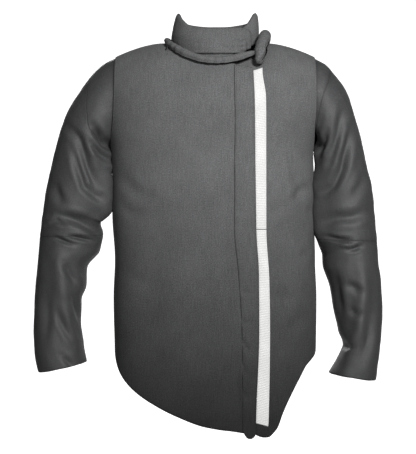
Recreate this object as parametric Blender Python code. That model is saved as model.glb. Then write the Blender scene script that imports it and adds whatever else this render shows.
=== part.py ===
"""A padded fencing coach's jacket, worn and hollow, with nobody inside it.

The jacket hangs from the neck.  X runs across the wearer, from the wearer's right (-X) to the
wearer's left (+X).  The front faces -Y and +Z is up.  The origin lies midway between the two
shoulder seams, level with their neck ends.

Every cut piece is one closed wall of cloth.  The three body panels are laid out on one hollow
form, the sleeve pieces on a tube of slanting rings, and the collar and its roll on a leaning
ring around the neck.  Neighbouring pieces share their seam line and stay SEAM apart.
"""
import math

import bmesh
import bpy
from mathutils import Vector

# ---------------------------------------------------------------- driving sizes, in metres
SEAM = 0.0003
LAID_ON = 0.0009
SLEEVE_SEAM = 0.0007
PANEL_WALL = 0.006
SLEEVE_WALL = 0.003
COLLAR_WALL = 0.009
BAND_WALL = 0.0016
TAPE_WALL = 0.0012

# The body form rises straight to DOME_START and then closes over the shoulders.
DOME_START = -0.140
DOME_HEIGHT = 0.140
DOME_LENGTH = DOME_HEIGHT * math.pi / 2
SHOULDER_LEVEL = DOME_START + DOME_LENGTH
SIDE_FLATNESS = 0.8
SHOULDER_RISE = 0.002
SHOULDER_FLAT = 0.110
SHOULDER_FALL = 1.2
SHOULDER_POWER = 1.6
SHOULDER_BLEND = -0.160

# The level sections of the body: level up the cloth, half width, depth to the front and to the
# back, and the lean to one side.
BODY_COLUMNS = ("level", "half", "front", "back", "lean")
BODY_ROWS = (
    (-0.810, 0.2050, 0.1210, 0.112, 0.0000),
    (-0.630, 0.2075, 0.1270, 0.119, 0.0005),
    (-0.520, 0.2093, 0.1310, 0.124, 0.0000),
    (-0.445, 0.2065, 0.1310, 0.125, 0.0000),
    (-0.350, 0.2080, 0.1350, 0.127, -0.0040),
    (-0.280, 0.2080, 0.1370, 0.127, -0.0040),
    (-0.225, 0.2085, 0.1380, 0.126, -0.0060),
    (-0.180, 0.2180, 0.1380, 0.125, -0.0040),
    (-0.140, 0.2290, 0.1380, 0.125, -0.0010),
    (-0.090, 0.2350, 0.1380, 0.125, 0.0000),
    (0.080, 0.2360, 0.1380, 0.125, 0.0000),
)

# Armhole: the level of the armpit, its half distance across and the height of its round foot.
ARMPIT = -0.222
ARMHOLE_HALF = 0.206
ARMHOLE_FOOT = 0.055

# Neck hole in plan: its half sizes and where its middle lies.
NECK_HALF = 0.094
NECK_DEPTH = 0.0815
NECK_BACK = -0.0195
NECK_POINT = 98.3
# Reach of the right front's neck edge past that oval, where it is cut low at the closing.
LOW_NECK_COLUMNS = ("angle", "reach")
LOW_NECK_ROWS = ((-100, 1.0), (0, 1.0), (15, 1.08), (25, 1.20), (36.0, 1.36))
LOW_NECK_CORNER = 36.0

# The closing: front edge of the right front, the seam of its band, and the tape's outer edge.
CLOSING_COLUMNS = ("height", "edge", "band", "tape")
CLOSING_ROWS = (
    (-0.800, 0.0800, 0.0545, 0.1055),
    (-0.758, 0.0807, 0.0543, 0.1077),
    (-0.589, 0.0865, 0.0520, 0.1104),
    (-0.483, 0.0860, 0.0455, 0.1090),
    (-0.383, 0.0807, 0.0375, 0.1030),
    (-0.223, 0.0783, 0.0375, 0.1025),
    (-0.123, 0.0771, 0.0375, 0.1016),
    (-0.060, 0.0752, 0.0375, 0.0950),
)
UNDERLAP_EDGE = 0.030
UNDERLAP_DEPTH = 0.0098
UNDERLAP_RUNOUT = 0.060
TAPE_TUCK = 0.003
TAPE_TOP = -0.0630
TAPE_TOP_SLANT = 0.006
TAPE_JOINT = -0.3825
TAPE_FOOT = -0.766
TAPE_FOOT_SLANT = -0.008
BAND_FOOT = -0.7965

# Hem heights round the front, by the turn from the middle of the front, in degrees.
HEM_COLUMNS = ("turn", "height")
SIDE_HEM = -0.633
RIGHT_HEM_ROWS = (
    (-90.0, -0.633), (-81.0, -0.650), (-75.0, -0.664), (-64.0, -0.686), (-51.6, -0.7073),
    (-37.9, -0.7284), (-23.0, -0.750), (-5.5, -0.7710), (9.1, -0.7791), (24.0, -0.7860),
)
LEFT_HEM_ROWS = (
    (8.0, -0.762), (14.0, -0.770), (21.2, -0.785), (25.8, -0.794), (28.9, -0.7963),
    (31.8, -0.7956), (35.0, -0.787), (38.2, -0.7742), (40.5, -0.7546), (46.0, -0.722),
    (55.2, -0.682), (63.8, -0.6556), (80.0, -0.639), (90.0, -0.633),
)

# Sleeve rings: the top (outer) and under (inner) point of each, across and up, then the half
# depth to front and back and how far forward its middle lies.
RING_COLUMNS = ("ring", "top_across", "top_up", "under_across", "under_up", "depth", "forward")
RIGHT_RINGS = (
    (0, 0.2050, -0.031, 0.2140, -0.222, 0.0740, 0.000),
    (1, 0.2285, -0.042, 0.2160, -0.229, 0.0750, 0.000),
    (2, 0.2525, -0.062, 0.2163, -0.237, 0.0755, 0.000),
    (3, 0.2790, -0.097, 0.2160, -0.249, 0.0755, 0.000),
    (4, 0.3083, -0.1471, 0.2154, -0.264, 0.0740, 0.001),
    (5, 0.3248, -0.1971, 0.2148, -0.2851, 0.0725, 0.002),
    (6, 0.3370, -0.2462, 0.2145, -0.3091, 0.0710, 0.003),
    (7, 0.3473, -0.2961, 0.2147, -0.3361, 0.0700, 0.004),
    (8, 0.3562, -0.3521, 0.2370, -0.366, 0.0680, 0.006),
    (9, 0.3608, -0.3979, 0.2293, -0.3949, 0.0680, 0.009),
    (10, 0.3634, -0.4317, 0.2385, -0.4278, 0.0670, 0.012),
    (11, 0.3660, -0.4635, 0.2626, -0.4615, 0.0640, 0.015),
    (12, 0.3685, -0.4991, 0.2648, -0.4972, 0.0620, 0.018),
    (13, 0.3697, -0.5307, 0.2739, -0.5307, 0.0590, 0.021),
    (14, 0.3709, -0.5879, 0.2709, -0.5879, 0.0560, 0.026),
    (15, 0.3689, -0.633, 0.2671, -0.6241, 0.0540, 0.030),
    (16, 0.3609, -0.6731, 0.2617, -0.6514, 0.0530, 0.034),
)
LEFT_RINGS = (
    (0, 0.2050, -0.031, 0.2020, -0.222, 0.0740, 0.000),
    (1, 0.2265, -0.042, 0.2045, -0.229, 0.0750, 0.000),
    (2, 0.2460, -0.062, 0.2050, -0.237, 0.0755, 0.000),
    (3, 0.2710, -0.097, 0.2055, -0.249, 0.0750, 0.000),
    (4, 0.2876, -0.1471, 0.2059, -0.264, 0.0730, 0.001),
    (5, 0.3018, -0.1971, 0.2063, -0.2851, 0.0715, 0.002),
    (6, 0.3122, -0.2462, 0.2062, -0.3091, 0.0700, 0.003),
    (7, 0.3240, -0.2961, 0.2062, -0.3361, 0.0690, 0.004),
    (8, 0.3292, -0.3521, 0.2062, -0.371, 0.0680, 0.006),
    (9, 0.3338, -0.4069, 0.2102, -0.4029, 0.0670, 0.009),
    (10, 0.3351, -0.4357, 0.2204, -0.4337, 0.0650, 0.012),
    (11, 0.3370, -0.4595, 0.2216, -0.4565, 0.0630, 0.015),
    (12, 0.3415, -0.4972, 0.2348, -0.4952, 0.0610, 0.018),
    (13, 0.3431, -0.5436, 0.2428, -0.5426, 0.0580, 0.022),
    (14, 0.3409, -0.5898, 0.2523, -0.5879, 0.0560, 0.026),
    (15, 0.3375, -0.6232, 0.2609, -0.6173, 0.0550, 0.029),
    (16, 0.3280, -0.6889, 0.2312, -0.6731, 0.0540, 0.034),
)
ELBOW_RING = 9
CUFF_RING = 16
# Where the shoulder panel is joined to the sleeve, as a ring number, by the angle round from the
# top of the sleeve in degrees.
CAP_COLUMNS = ("angle", "ring")
RIGHT_CAP_ROWS = ((0, 2.45), (37, 2.55), (66, 3.0), (87, 3.3), (120, 2.6), (150, 1.6), (180, 1.1))
LEFT_CAP_ROWS = ((0, 1.7), (45, 1.5), (78, 0.8), (105, 0.45), (140, 0.40), (180, 0.40))
SLEEVE_STEP = 0.003
ARMHOLE_CLEARANCE = 0.0012
ARMHOLE_FADE = 2.5

# Collar: a strip that wraps the neck once and overlaps itself in front, by its angle from the
# middle of the front.  It runs from its free end at the wearer's left backwards round the neck.
COLLAR_FREE_END = 56
COLLAR_HIDDEN_END = -335
COLLAR_FOOT_HALF = 0.0905
COLLAR_FOOT_DEPTH = 0.0775
COLLAR_TOP_HALF = 0.0830
COLLAR_TOP_DEPTH = 0.0715
COLLAR_LEAN = 0.004
COLLAR_FOOT_LEAN = -0.3
COLLAR_NARROWING_HEIGHT = 0.055
COLLAR_BULGE = 0.002
COLLAR_UNDERLAP = 0.0102
COLLAR_CURL = 0.0015
COLLAR_COLUMNS = ("angle", "top", "under")
COLLAR_ROWS = (
    (-335, 0.0190, 1.0), (-318, 0.0235, 1.0), (-306, 0.0310, 1.0), (-300, 0.0375, 0.92),
    (-284, 0.0590, 0.25), (-274, 0.0625, 0.0), (-258, 0.0570, 0.0), (-240, 0.0500, 0.0),
    (-210, 0.0460, 0.0), (-180, 0.0450, 0.0), (-150, 0.0460, 0.0), (-120, 0.0500, 0.0),
    (-104, 0.0560, 0.0), (-88, 0.0620, 0.0), (-78, 0.0600, 0.0), (-58, 0.0446, 0.0),
    (-45, 0.0338, 0.0), (-30, 0.0240, 0.0), (0, 0.0217, 0.0), (30, 0.0235, 0.0),
    (43, 0.0245, 0.0), (50, 0.0232, 0.0), (56, 0.0190, 0.0),
)

# Neck roll: a stuffed roll round the foot of the collar.  Angle from the middle of the front and
# reach past the neck hole's oval, then the half width and half height of the roll.
ROLL_GAP = 0.0024
ROLL_COLUMNS = ("angle", "reach", "half_width", "half_height")
ROLL_ROWS = (
    (-318, 1.36, 0.0120, 0.0135),
    (-305, 1.19, 0.0128, 0.0142),
    (-290, 1.12, 0.0124, 0.0142),
    (-272, 1.09, 0.0115, 0.0125),
    (-245, 1.08, 0.0085, 0.0095),
    (-215, 1.07, 0.0062, 0.0074),
    (-180, 1.06, 0.0054, 0.0066),
    (-140, 1.06, 0.0050, 0.0054),
    (-110, 1.05, 0.0048, 0.0042),
    (-80, 1.06, 0.0054, 0.0044),
    (-62, 1.08, 0.0062, 0.0058),
    (-40, 1.09, 0.0066, 0.0072),
    (0, 1.09, 0.0066, 0.0070),
    (30, 1.12, 0.0066, 0.0070),
    (46, 1.17, 0.0062, 0.0066),
)
ROLL_ON_LEFT_FRONT = -250

# How finely each piece is divided.
SIDE_STEPS = 12
ARMHOLE_STEPS = 10
NECK_STEPS = 8
LEFT_NECK_STEPS = 6
BACK_NECK_STEPS = 10
SHOULDER_STEPS = 4
ROUND_STEPS = 20
CAP_STEPS = 2
UPPER_STEPS = 9
FOREARM_STEPS = 9
COLLAR_STEPS = 42
COLLAR_RISE_STEPS = 3
ROLL_STEPS = 36
ROLL_ROUND_STEPS = 8
BAND_STEPS = 2
BAND_LENGTH_STEPS = 24
TAPE_STEPS = 2
TAPE_LENGTH_STEPS = 12
NUDGE = 0.002

# Colours of the cloth and the tape, as red, green and blue, with roughness.
CLOTH_COLOUR = (0.055, 0.056, 0.060)
PANEL_COLOUR = (0.085, 0.086, 0.090)
ROLL_COLOUR = (0.075, 0.076, 0.080)
TAPE_COLOUR = (0.85, 0.85, 0.86)


# ---------------------------------------------------------------- small helpers
def mix(low, high, share):
    """The value that lies the given share of the way from low to high."""
    return low + (high - low) * share


def ease(value, low, high):
    """A soft step from 0 at low to 1 at high."""
    share = min(1.0, max(0.0, (value - low) / (high - low)))
    return share * share * (3 - 2 * share)


def read(rows, columns, name, key):
    """Read one column of a table at a key, on a smooth curve through its rows."""
    place = columns.index(name)
    if key <= rows[0][0]:
        return rows[0][place]
    if key >= rows[-1][0]:
        return rows[-1][place]
    row = max(i for i in range(len(rows) - 1) if rows[i][0] <= key)
    span = rows[row + 1][0] - rows[row][0]
    share = (key - rows[row][0]) / span

    def slope(i):
        if i == 0 or i == len(rows) - 1:
            return 0.0
        before = (rows[i][place] - rows[i - 1][place]) / (rows[i][0] - rows[i - 1][0])
        after = (rows[i + 1][place] - rows[i][place]) / (rows[i + 1][0] - rows[i][0])
        if before * after <= 0:
            return 0.0
        return 2 * before * after / (before + after)

    low, high = rows[row][place], rows[row + 1][place]
    first = (2 * share ** 3 - 3 * share ** 2 + 1) * low
    second = (share ** 3 - 2 * share ** 2 + share) * span * slope(row)
    third = (3 * share ** 2 - 2 * share ** 3) * high
    fourth = (share ** 3 - share ** 2) * span * slope(row + 1)
    return first + second + third + fourth


# ---------------------------------------------------------------- the body form
def body(name, level):
    """One size of the body's section at a level."""
    return read(BODY_ROWS, BODY_COLUMNS, name, level)


def body_surface(turn, level, face):
    """A point on the outside of the body form.

    turn is the angle from the middle of the front or back, level the distance up the cloth,
    and face is 1 for the front and -1 for the back.
    """
    reach = body("front" if face > 0 else "back", level)
    height = level
    if level > DOME_START:
        rise = (level - DOME_START) / DOME_LENGTH * math.pi / 2
        reach *= math.cos(rise)
        height = DOME_START + DOME_HEIGHT * math.sin(rise)
    across = body("lean", level) + body("half", level) * math.sin(turn)
    forward = reach * max(0.0, math.cos(turn)) ** SIDE_FLATNESS
    past = max(0.0, abs(across) - SHOULDER_FLAT)
    drop = SHOULDER_RISE - SHOULDER_FALL * past ** SHOULDER_POWER
    height += drop * ease(level, SHOULDER_BLEND, SHOULDER_LEVEL)
    return Vector((across, -face * (forward + SEAM / 2), height))


def body_normal(turn, level, face):
    """The outward direction at a point of the body form."""
    quarter = math.pi / 2
    low = body_surface(max(-quarter, turn - NUDGE), level, face)
    high = body_surface(min(quarter, turn + NUDGE), level, face)
    under = body_surface(turn, level - NUDGE, face)
    over = body_surface(turn, min(SHOULDER_LEVEL, level + NUDGE), face)
    return face * (high - low).cross(over - under).normalized()


def body_point(turn, level, face, depth):
    """A point of a panel, the given depth under the outside of the form."""
    return body_surface(turn, level, face) - body_normal(turn, level, face) * depth


def level_at(height):
    """The level up the cloth of a height on the front or back."""
    if height <= DOME_START:
        return height
    return DOME_START + DOME_LENGTH * math.asin((height - DOME_START) / DOME_HEIGHT) / (math.pi / 2)


def turn_at(across, level):
    """The turn at which the section of a level lies that far across."""
    share = (across - body("lean", level)) / body("half", level)
    return math.asin(min(1.0, max(-1.0, share)))


def plan_spot(across, forward):
    """Turn and level of the shoulder surface above a spot in plan."""
    face = "front" if forward >= 0 else "back"
    turn = turn_at(across, SHOULDER_LEVEL)
    reach = body(face, SHOULDER_LEVEL) * math.cos(turn) ** SIDE_FLATNESS
    rise = math.acos(min(1.0, abs(forward) / reach))
    return turn, DOME_START + DOME_LENGTH * rise / (math.pi / 2)


def neck_spot(angle, reach=1.0):
    """Turn and level of the neck hole's edge at an angle from the middle of the front."""
    across = NECK_HALF * reach * math.sin(math.radians(angle))
    forward = NECK_DEPTH * reach * math.cos(math.radians(angle)) - NECK_BACK
    return plan_spot(across, forward)


def neck_face(angle, reach=1.0):
    """1 where the neck hole's edge lies on the front of the form, -1 where it is on the back."""
    return 1 if NECK_DEPTH * reach * math.cos(math.radians(angle)) >= NECK_BACK else -1


def armhole_turn(level):
    """The turn of the armhole's edge at a level, on the wearer's left."""
    half = body("half", level)
    share = min(1.0, max(0.0, (level - ARMPIT) / ARMHOLE_FOOT))
    across = ARMHOLE_HALF + (half - ARMHOLE_HALF) * (1 - share) ** 2
    return math.asin(min(1.0, across / half))


def armhole_level(share):
    """Level of the armhole's edge, from the armpit at 0 up to the shoulder seam at 1."""
    return ARMPIT + (SHOULDER_LEVEL - ARMPIT) * (1 - math.cos(share * math.pi / 2))


# ---------------------------------------------------------------- edges of the panels
# Each edge is a function of 0 to 1 that gives a turn and a level on the body form.
ARMPIT_SHARE = SIDE_STEPS / (SIDE_STEPS + ARMHOLE_STEPS)


def side_edge(side):
    """Side seam and armhole of a panel, from the hem to the shoulder; side is 1 on the left."""
    def edge(share):
        if share <= ARMPIT_SHARE:
            return side * math.pi / 2, mix(SIDE_HEM, ARMPIT, share / ARMPIT_SHARE)
        level = armhole_level((share - ARMPIT_SHARE) / (1 - ARMPIT_SHARE))
        return side * armhole_turn(level), level
    return edge


def shoulder_spot(side, share):
    """A spot on the shoulder seam, from the neck at 0 to the armhole at 1."""
    neck = NECK_HALF * math.sin(math.radians(NECK_POINT))
    across = mix(neck, ARMHOLE_HALF, share)
    return side * turn_at(across, SHOULDER_LEVEL), SHOULDER_LEVEL


def front_top(side, angle, steps, low_neck):
    """Neck edge from an angle to the neck point, then the shoulder seam."""
    split = steps / (steps + SHOULDER_STEPS)

    def edge(share):
        if share <= split:
            here = mix(angle, side * NECK_POINT, share / split)
            reach = read(LOW_NECK_ROWS, LOW_NECK_COLUMNS, "reach", here) if low_neck else 1.0
            turn, level = neck_spot(here, reach)
            return turn, mix(level, SHOULDER_LEVEL, 0.0 if share < split else 1.0)
        return shoulder_spot(side, (share - split) / (1 - split))
    return edge


def back_top(share):
    """Right shoulder seam, back of the neck and left shoulder seam."""
    steps = share * (BACK_NECK_STEPS + 2 * SHOULDER_STEPS)
    if steps <= SHOULDER_STEPS:
        return shoulder_spot(-1, 1 - steps / SHOULDER_STEPS)
    if steps >= SHOULDER_STEPS + BACK_NECK_STEPS:
        return shoulder_spot(1, (steps - SHOULDER_STEPS - BACK_NECK_STEPS) / SHOULDER_STEPS)
    angle = mix(-NECK_POINT, NECK_POINT - 360, (steps - SHOULDER_STEPS) / BACK_NECK_STEPS)
    return neck_spot(angle)


def hem(rows, start, end):
    """The hem between two turns, at the heights of a table."""
    def edge(share):
        turn = mix(start, end, share)
        return turn, read(rows, HEM_COLUMNS, "height", math.degrees(turn))
    return edge


def closing_line(name, foot, head, shift=0.0):
    """A line down the closing, between two levels."""
    def edge(share):
        level = mix(foot, head, share)
        across = read(CLOSING_ROWS, CLOSING_COLUMNS, name, level) + shift
        return turn_at(across, level), level
    return edge


def between(foot, head, start, end):
    """The spot (turn, level) inside four edges, at a share along and a share up."""
    def spot(along, up):
        values = []
        for axis in (0, 1):
            rule = mix(foot(along)[axis], head(along)[axis], up)
            rule += mix(start(up)[axis], end(up)[axis], along)
            low = mix(foot(0)[axis], foot(1)[axis], along)
            high = mix(head(0)[axis], head(1)[axis], along)
            values.append(rule - mix(low, high, up))
        return values
    return spot


def underlap_depth(turn, level):
    """How deep the left front lies under the form, where the right front laps over it."""
    across = body("lean", level) + body("half", level) * math.sin(turn)
    edge = read(CLOSING_ROWS, CLOSING_COLUMNS, "edge", level)
    beside = 1 - ease(across, edge, edge + UNDERLAP_RUNOUT)
    return UNDERLAP_DEPTH * beside * (1 - ease(level, -0.03, 0.05))


# ---------------------------------------------------------------- making walls of cloth
def finish(name, bm, colour, rough, collection):
    """Turn a closed bmesh into a named, smoothly shaded object with its own material."""
    bmesh.ops.recalc_face_normals(bm, faces=bm.faces[:])
    mesh = bpy.data.meshes.new(name)
    bm.to_mesh(mesh)
    bm.free()
    mesh.shade_smooth()
    mesh.set_sharp_from_angle(angle=math.radians(50))
    material = bpy.data.materials.new(name + "_cloth")
    material.use_nodes = True
    shader = material.node_tree.nodes["Principled BSDF"]
    shader.inputs["Base Color"].default_value = (*colour, 1.0)
    shader.inputs["Roughness"].default_value = rough
    shader.inputs["Metallic"].default_value = 0.0
    mesh.materials.append(material)
    piece = bpy.data.objects.new(name, mesh)
    collection.objects.link(piece)
    return piece


def cloth_wall(steps, outer, inner, tube=False):
    """A closed wall between two sheets, each a function of a share along and a share up."""
    bm = bmesh.new()
    along = bm.verts.layers.float.new("along")
    up = bm.verts.layers.float.new("up")
    bmesh.ops.create_grid(bm, x_segments=steps[0], y_segments=steps[1], size=0.5)
    for vert in bm.verts:
        vert[along] = round((vert.co.x + 0.5) * steps[0]) / steps[0]
        vert[up] = round((vert.co.y + 0.5) * steps[1]) / steps[1]
        vert.co = outer(vert[along], vert[up])
    if tube:
        bmesh.ops.remove_doubles(bm, verts=bm.verts[:], dist=0.00001)
    outside = set(bm.verts)
    bmesh.ops.extrude_face_region(bm, geom=bm.faces[:])
    for vert in bm.verts:
        if vert not in outside:
            vert.co = inner(vert[along], vert[up])
    return bm


def panel_wall(steps, spot, face, depth, wall):
    """The wall of a body panel whose outside lies a depth under the form."""
    def skin(extra):
        def point(along, up):
            turn, level = spot(along, up)
            return body_point(turn, level, face, depth(turn, level) + extra)
        return point
    return cloth_wall(steps, skin(0.0), skin(wall))


def flush(_turn, _level):
    """A panel that lies on the form itself."""
    return 0.0


# ---------------------------------------------------------------- body panels
def right_front(collection):
    """The wearer's right front, which laps over to the wearer's left and comes to a low point."""
    edge = closing_line("edge", -0.786, level_at(-0.0605))
    foot = hem(RIGHT_HEM_ROWS, edge(0)[0], -math.pi / 2)
    head = front_top(-1, LOW_NECK_CORNER, NECK_STEPS, True)
    spot = between(foot, head, edge_to(edge, head(0)), side_edge(-1))
    steps = (NECK_STEPS + SHOULDER_STEPS, SIDE_STEPS + ARMHOLE_STEPS)
    bm = panel_wall(steps, spot, 1, flush, PANEL_WALL)
    return finish("right_front", bm, PANEL_COLOUR, 0.8, collection)


def edge_to(edge, corner):
    """The same edge, drawn gently so that its upper end meets a corner."""
    gap = [corner[axis] - edge(1)[axis] for axis in (0, 1)]

    def drawn(share):
        spot = edge(share)
        pull = share ** 6
        return spot[0] + gap[0] * pull, spot[1] + gap[1] * pull
    return drawn


def left_front(collection):
    """The wearer's left front, which runs on under the right front."""
    start_angle = math.degrees(math.asin(UNDERLAP_EDGE / NECK_HALF))
    head = front_top(1, start_angle, LEFT_NECK_STEPS, False)

    def edge(share):
        level = mix(-0.762, head(0)[1], share)
        return mix(turn_at(UNDERLAP_EDGE, level), head(0)[0], share ** 6), level

    foot = hem(LEFT_HEM_ROWS, edge(0)[0], math.pi / 2)
    spot = between(foot, head, edge, side_edge(1))
    steps = (LEFT_NECK_STEPS + SHOULDER_STEPS, SIDE_STEPS + ARMHOLE_STEPS)
    bm = panel_wall(steps, spot, 1, underlap_depth, PANEL_WALL)
    return finish("left_front", bm, PANEL_COLOUR, 0.8, collection)


def back(collection):
    """The back, in one piece, with a level hem."""
    def foot(share):
        return mix(-math.pi / 2, math.pi / 2, share), SIDE_HEM

    spot = between(foot, back_top, side_edge(-1), side_edge(1))
    steps = (BACK_NECK_STEPS + 2 * SHOULDER_STEPS, SIDE_STEPS + ARMHOLE_STEPS)
    bm = panel_wall(steps, spot, -1, flush, PANEL_WALL)
    return finish("back", bm, PANEL_COLOUR, 0.8, collection)


def front_band(collection):
    """The folded band sewn down the right front's edge, with a rounded end below the hem."""
    top = level_at(-0.0625)

    def foot(share):
        start = closing_line("edge", BAND_FOOT, top)(0)[0]
        end = closing_line("band", BAND_FOOT, top)(0)[0]
        rounded = (1 - (2 * share - 0.7) ** 2) if share < 0.85 else 0.5
        return mix(start, end, share), BAND_FOOT + 0.011 * (1 - rounded) + 0.004 * share

    def head(share):
        start = closing_line("edge", BAND_FOOT, top)(1)[0]
        end = closing_line("band", BAND_FOOT, top)(1)[0]
        return mix(start, end, share), top + 0.006 * share

    def edge(name):
        def line(share):
            return closing_line(name, BAND_FOOT, top)(share)
        return line

    def pinned(name, share_along):
        def line(share):
            turn, level = edge(name)(share)
            low = foot(share_along)[1] - edge(name)(0)[1]
            high = head(share_along)[1] - edge(name)(1)[1]
            return turn, level + mix(low, high, share)
        return line

    spot = between(foot, head, pinned("edge", 0), pinned("band", 1))
    depth = -(LAID_ON + BAND_WALL)
    bm = panel_wall((BAND_STEPS, BAND_LENGTH_STEPS), spot, 1, lambda _t, _l: depth, BAND_WALL)
    return finish("front_band", bm, PANEL_COLOUR, 0.8, collection)


def tape(name, foot_height, head_height, foot_slant, head_slant, collection):
    """One length of the white fastening tape, sewn on the left front beside the closing."""
    def line(column, shift, slant_share):
        def edge(share):
            foot_level = foot_height + foot_slant * slant_share
            head_level = head_height + head_slant * slant_share
            level = level_at(mix(foot_level, head_level, share))
            across = read(CLOSING_ROWS, CLOSING_COLUMNS, column, level) + shift
            return turn_at(across, level), level
        return edge

    start = line("edge", -TAPE_TUCK, 0.0)
    end = line("tape", 0.0, 1.0)

    def foot(share):
        return [mix(start(0)[axis], end(0)[axis], share) for axis in (0, 1)]

    def head(share):
        return [mix(start(1)[axis], end(1)[axis], share) for axis in (0, 1)]

    def depth(turn, level):
        return underlap_depth(turn, level) - LAID_ON - TAPE_WALL

    spot = between(foot, head, start, end)
    bm = panel_wall((TAPE_STEPS, TAPE_LENGTH_STEPS), spot, 1, depth, TAPE_WALL)
    return finish(name, bm, TAPE_COLOUR, 0.7, collection)


# ---------------------------------------------------------------- sleeves
def armhole_edge(side, angle):
    """The armhole's edge on the body at an angle round from the shoulder, front first."""
    face = 1 if angle <= math.pi else -1
    share = 1 - angle / math.pi if face > 0 else angle / math.pi - 1
    level = armhole_level(share)
    turn = side * armhole_turn(level)
    step = SLEEVE_STEP * ease(share, 0.10, 0.45)
    spot = body_point(turn, level, face, step)
    return spot + Vector((side * ARMHOLE_CLEARANCE, 0, 0))


def sleeve_surface(side, rings, ring, angle):
    """A point on the outside of a sleeve, at a ring number and an angle round from its top."""
    size = {name: read(rings, RING_COLUMNS, name, ring) for name in RING_COLUMNS[1:]}
    top = Vector((side * size["top_across"], 0, size["top_up"]))
    under = Vector((side * size["under_across"], 0, size["under_up"]))
    point = (top + under) / 2 + (top - under) / 2 * math.cos(angle)
    point.y = -size["forward"] - size["depth"] * math.sin(angle)
    if ring < ARMHOLE_FADE:
        first = sleeve_ring_zero(side, rings, angle)
        fade = 1 - ease(ring, 0, ARMHOLE_FADE)
        point += (armhole_edge(side, angle) - first) * fade
    return point


def sleeve_ring_zero(side, rings, angle):
    """The plain oval that ring 0 would be, before it is fitted to the armhole."""
    _ring, top_across, top_up, under_across, under_up, depth, forward = rings[0]
    top = Vector((side * top_across, 0, top_up))
    under = Vector((side * under_across, 0, under_up))
    point = (top + under) / 2 + (top - under) / 2 * math.cos(angle)
    point.y = -forward - depth * math.sin(angle)
    return point


def sleeve_point(side, rings, ring, angle, depth):
    """A point of a sleeve's wall, the given depth under its outside."""
    low = max(0.0, ring - 0.05)
    high = min(CUFF_RING, ring + 0.05)
    angle = angle % (2 * math.pi)
    before = sleeve_surface(side, rings, ring, (angle - 0.02) % (2 * math.pi))
    after = sleeve_surface(side, rings, ring, (angle + 0.02) % (2 * math.pi))
    above = sleeve_surface(side, rings, low, angle)
    below = sleeve_surface(side, rings, high, angle)
    normal = side * (after - before).cross(below - above).normalized()
    return sleeve_surface(side, rings, ring, angle) - normal * depth


def sleeve_piece(name, side, rings, start, end, steps, collection):
    """A stretch of sleeve between two ring numbers, each a function of the angle."""
    def skin(depth):
        def point(along, up):
            angle = (along % 1.0) * 2 * math.pi
            return sleeve_point(side, rings, mix(start(angle), end(angle), up), angle, depth)
        return point

    bm = cloth_wall((ROUND_STEPS, steps), skin(0.0), skin(SLEEVE_WALL), tube=True)
    return finish(name, bm, CLOTH_COLOUR, 0.6, collection)


def sleeve(side, word, rings, cap_rows, collection):
    """Shoulder panel, upper sleeve and forearm of one side."""
    def armhole(_angle):
        return 0.0

    def cap(angle):
        degrees = math.degrees(min(angle, 2 * math.pi - angle))
        return read(cap_rows, CAP_COLUMNS, "ring", degrees)

    def past(ring, angle):
        """A ring number a seam's gap further down the sleeve."""
        here = sleeve_surface(side, rings, ring, angle)
        there = sleeve_surface(side, rings, ring + 0.1, angle)
        return ring + 0.1 * SLEEVE_SEAM / (there - here).length

    def under_cap(angle):
        return past(cap(angle), angle)

    def elbow(_angle):
        return ELBOW_RING

    def under_elbow(angle):
        return past(ELBOW_RING, angle)

    def cuff(_angle):
        return CUFF_RING

    sleeve_piece(word + "_shoulder_panel", side, rings, armhole, cap, CAP_STEPS, collection)
    sleeve_piece(word + "_upper_sleeve", side, rings, under_cap, elbow, UPPER_STEPS, collection)
    sleeve_piece(word + "_forearm", side, rings, under_elbow, cuff, FOREARM_STEPS, collection)


# ---------------------------------------------------------------- collar and roll
def collar_foot(angle):
    """Height of the collar's lower edge, just over the neck hole."""
    turn, level = neck_spot(angle)
    return body_surface(turn, level, neck_face(angle)).z + SEAM * 2


def collar_surface(angle, rise):
    """A point on the outside of the collar, at an angle and a share of its height."""
    top = read(COLLAR_ROWS, COLLAR_COLUMNS, "top", angle)
    under = read(COLLAR_ROWS, COLLAR_COLUMNS, "under", angle) * COLLAR_UNDERLAP
    height = mix(collar_foot(angle), top, rise)
    climb = max(0.0, height) / COLLAR_NARROWING_HEIGHT
    narrow = ease(climb, -0.3, 1.3)
    curl = COLLAR_CURL * ease(height, 0.050, 0.068)
    bulge = COLLAR_BULGE * math.sin(rise * math.pi) - under - curl
    half = mix(COLLAR_FOOT_HALF, COLLAR_TOP_HALF, narrow) + bulge
    depth = mix(COLLAR_FOOT_DEPTH, COLLAR_TOP_DEPTH, narrow) + bulge
    across = COLLAR_LEAN * mix(COLLAR_FOOT_LEAN, 1.0, narrow) + half * math.sin(math.radians(angle))
    forward = depth * math.cos(math.radians(angle)) - NECK_BACK
    return Vector((across, -forward, height))


def collar_point(angle, rise, depth):
    """A point of the collar's wall, the given depth under its outside."""
    before = collar_surface(angle - 1, rise)
    after = collar_surface(angle + 1, rise)
    low = collar_surface(angle, max(0.0, rise - 0.05))
    high = collar_surface(angle, min(1.0, rise + 0.05))
    normal = (after - before).cross(high - low).normalized()
    return collar_surface(angle, rise) - normal * depth


def collar(collection):
    """The stand collar: one padded strip that wraps the neck and overlaps itself in front."""
    def skin(depth):
        def point(along, up):
            return collar_point(mix(COLLAR_HIDDEN_END, COLLAR_FREE_END, along), up, depth)
        return point

    bm = cloth_wall((COLLAR_STEPS, COLLAR_RISE_STEPS), skin(0.0), skin(COLLAR_WALL))
    return finish("collar", bm, PANEL_COLOUR, 0.75, collection)


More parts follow.
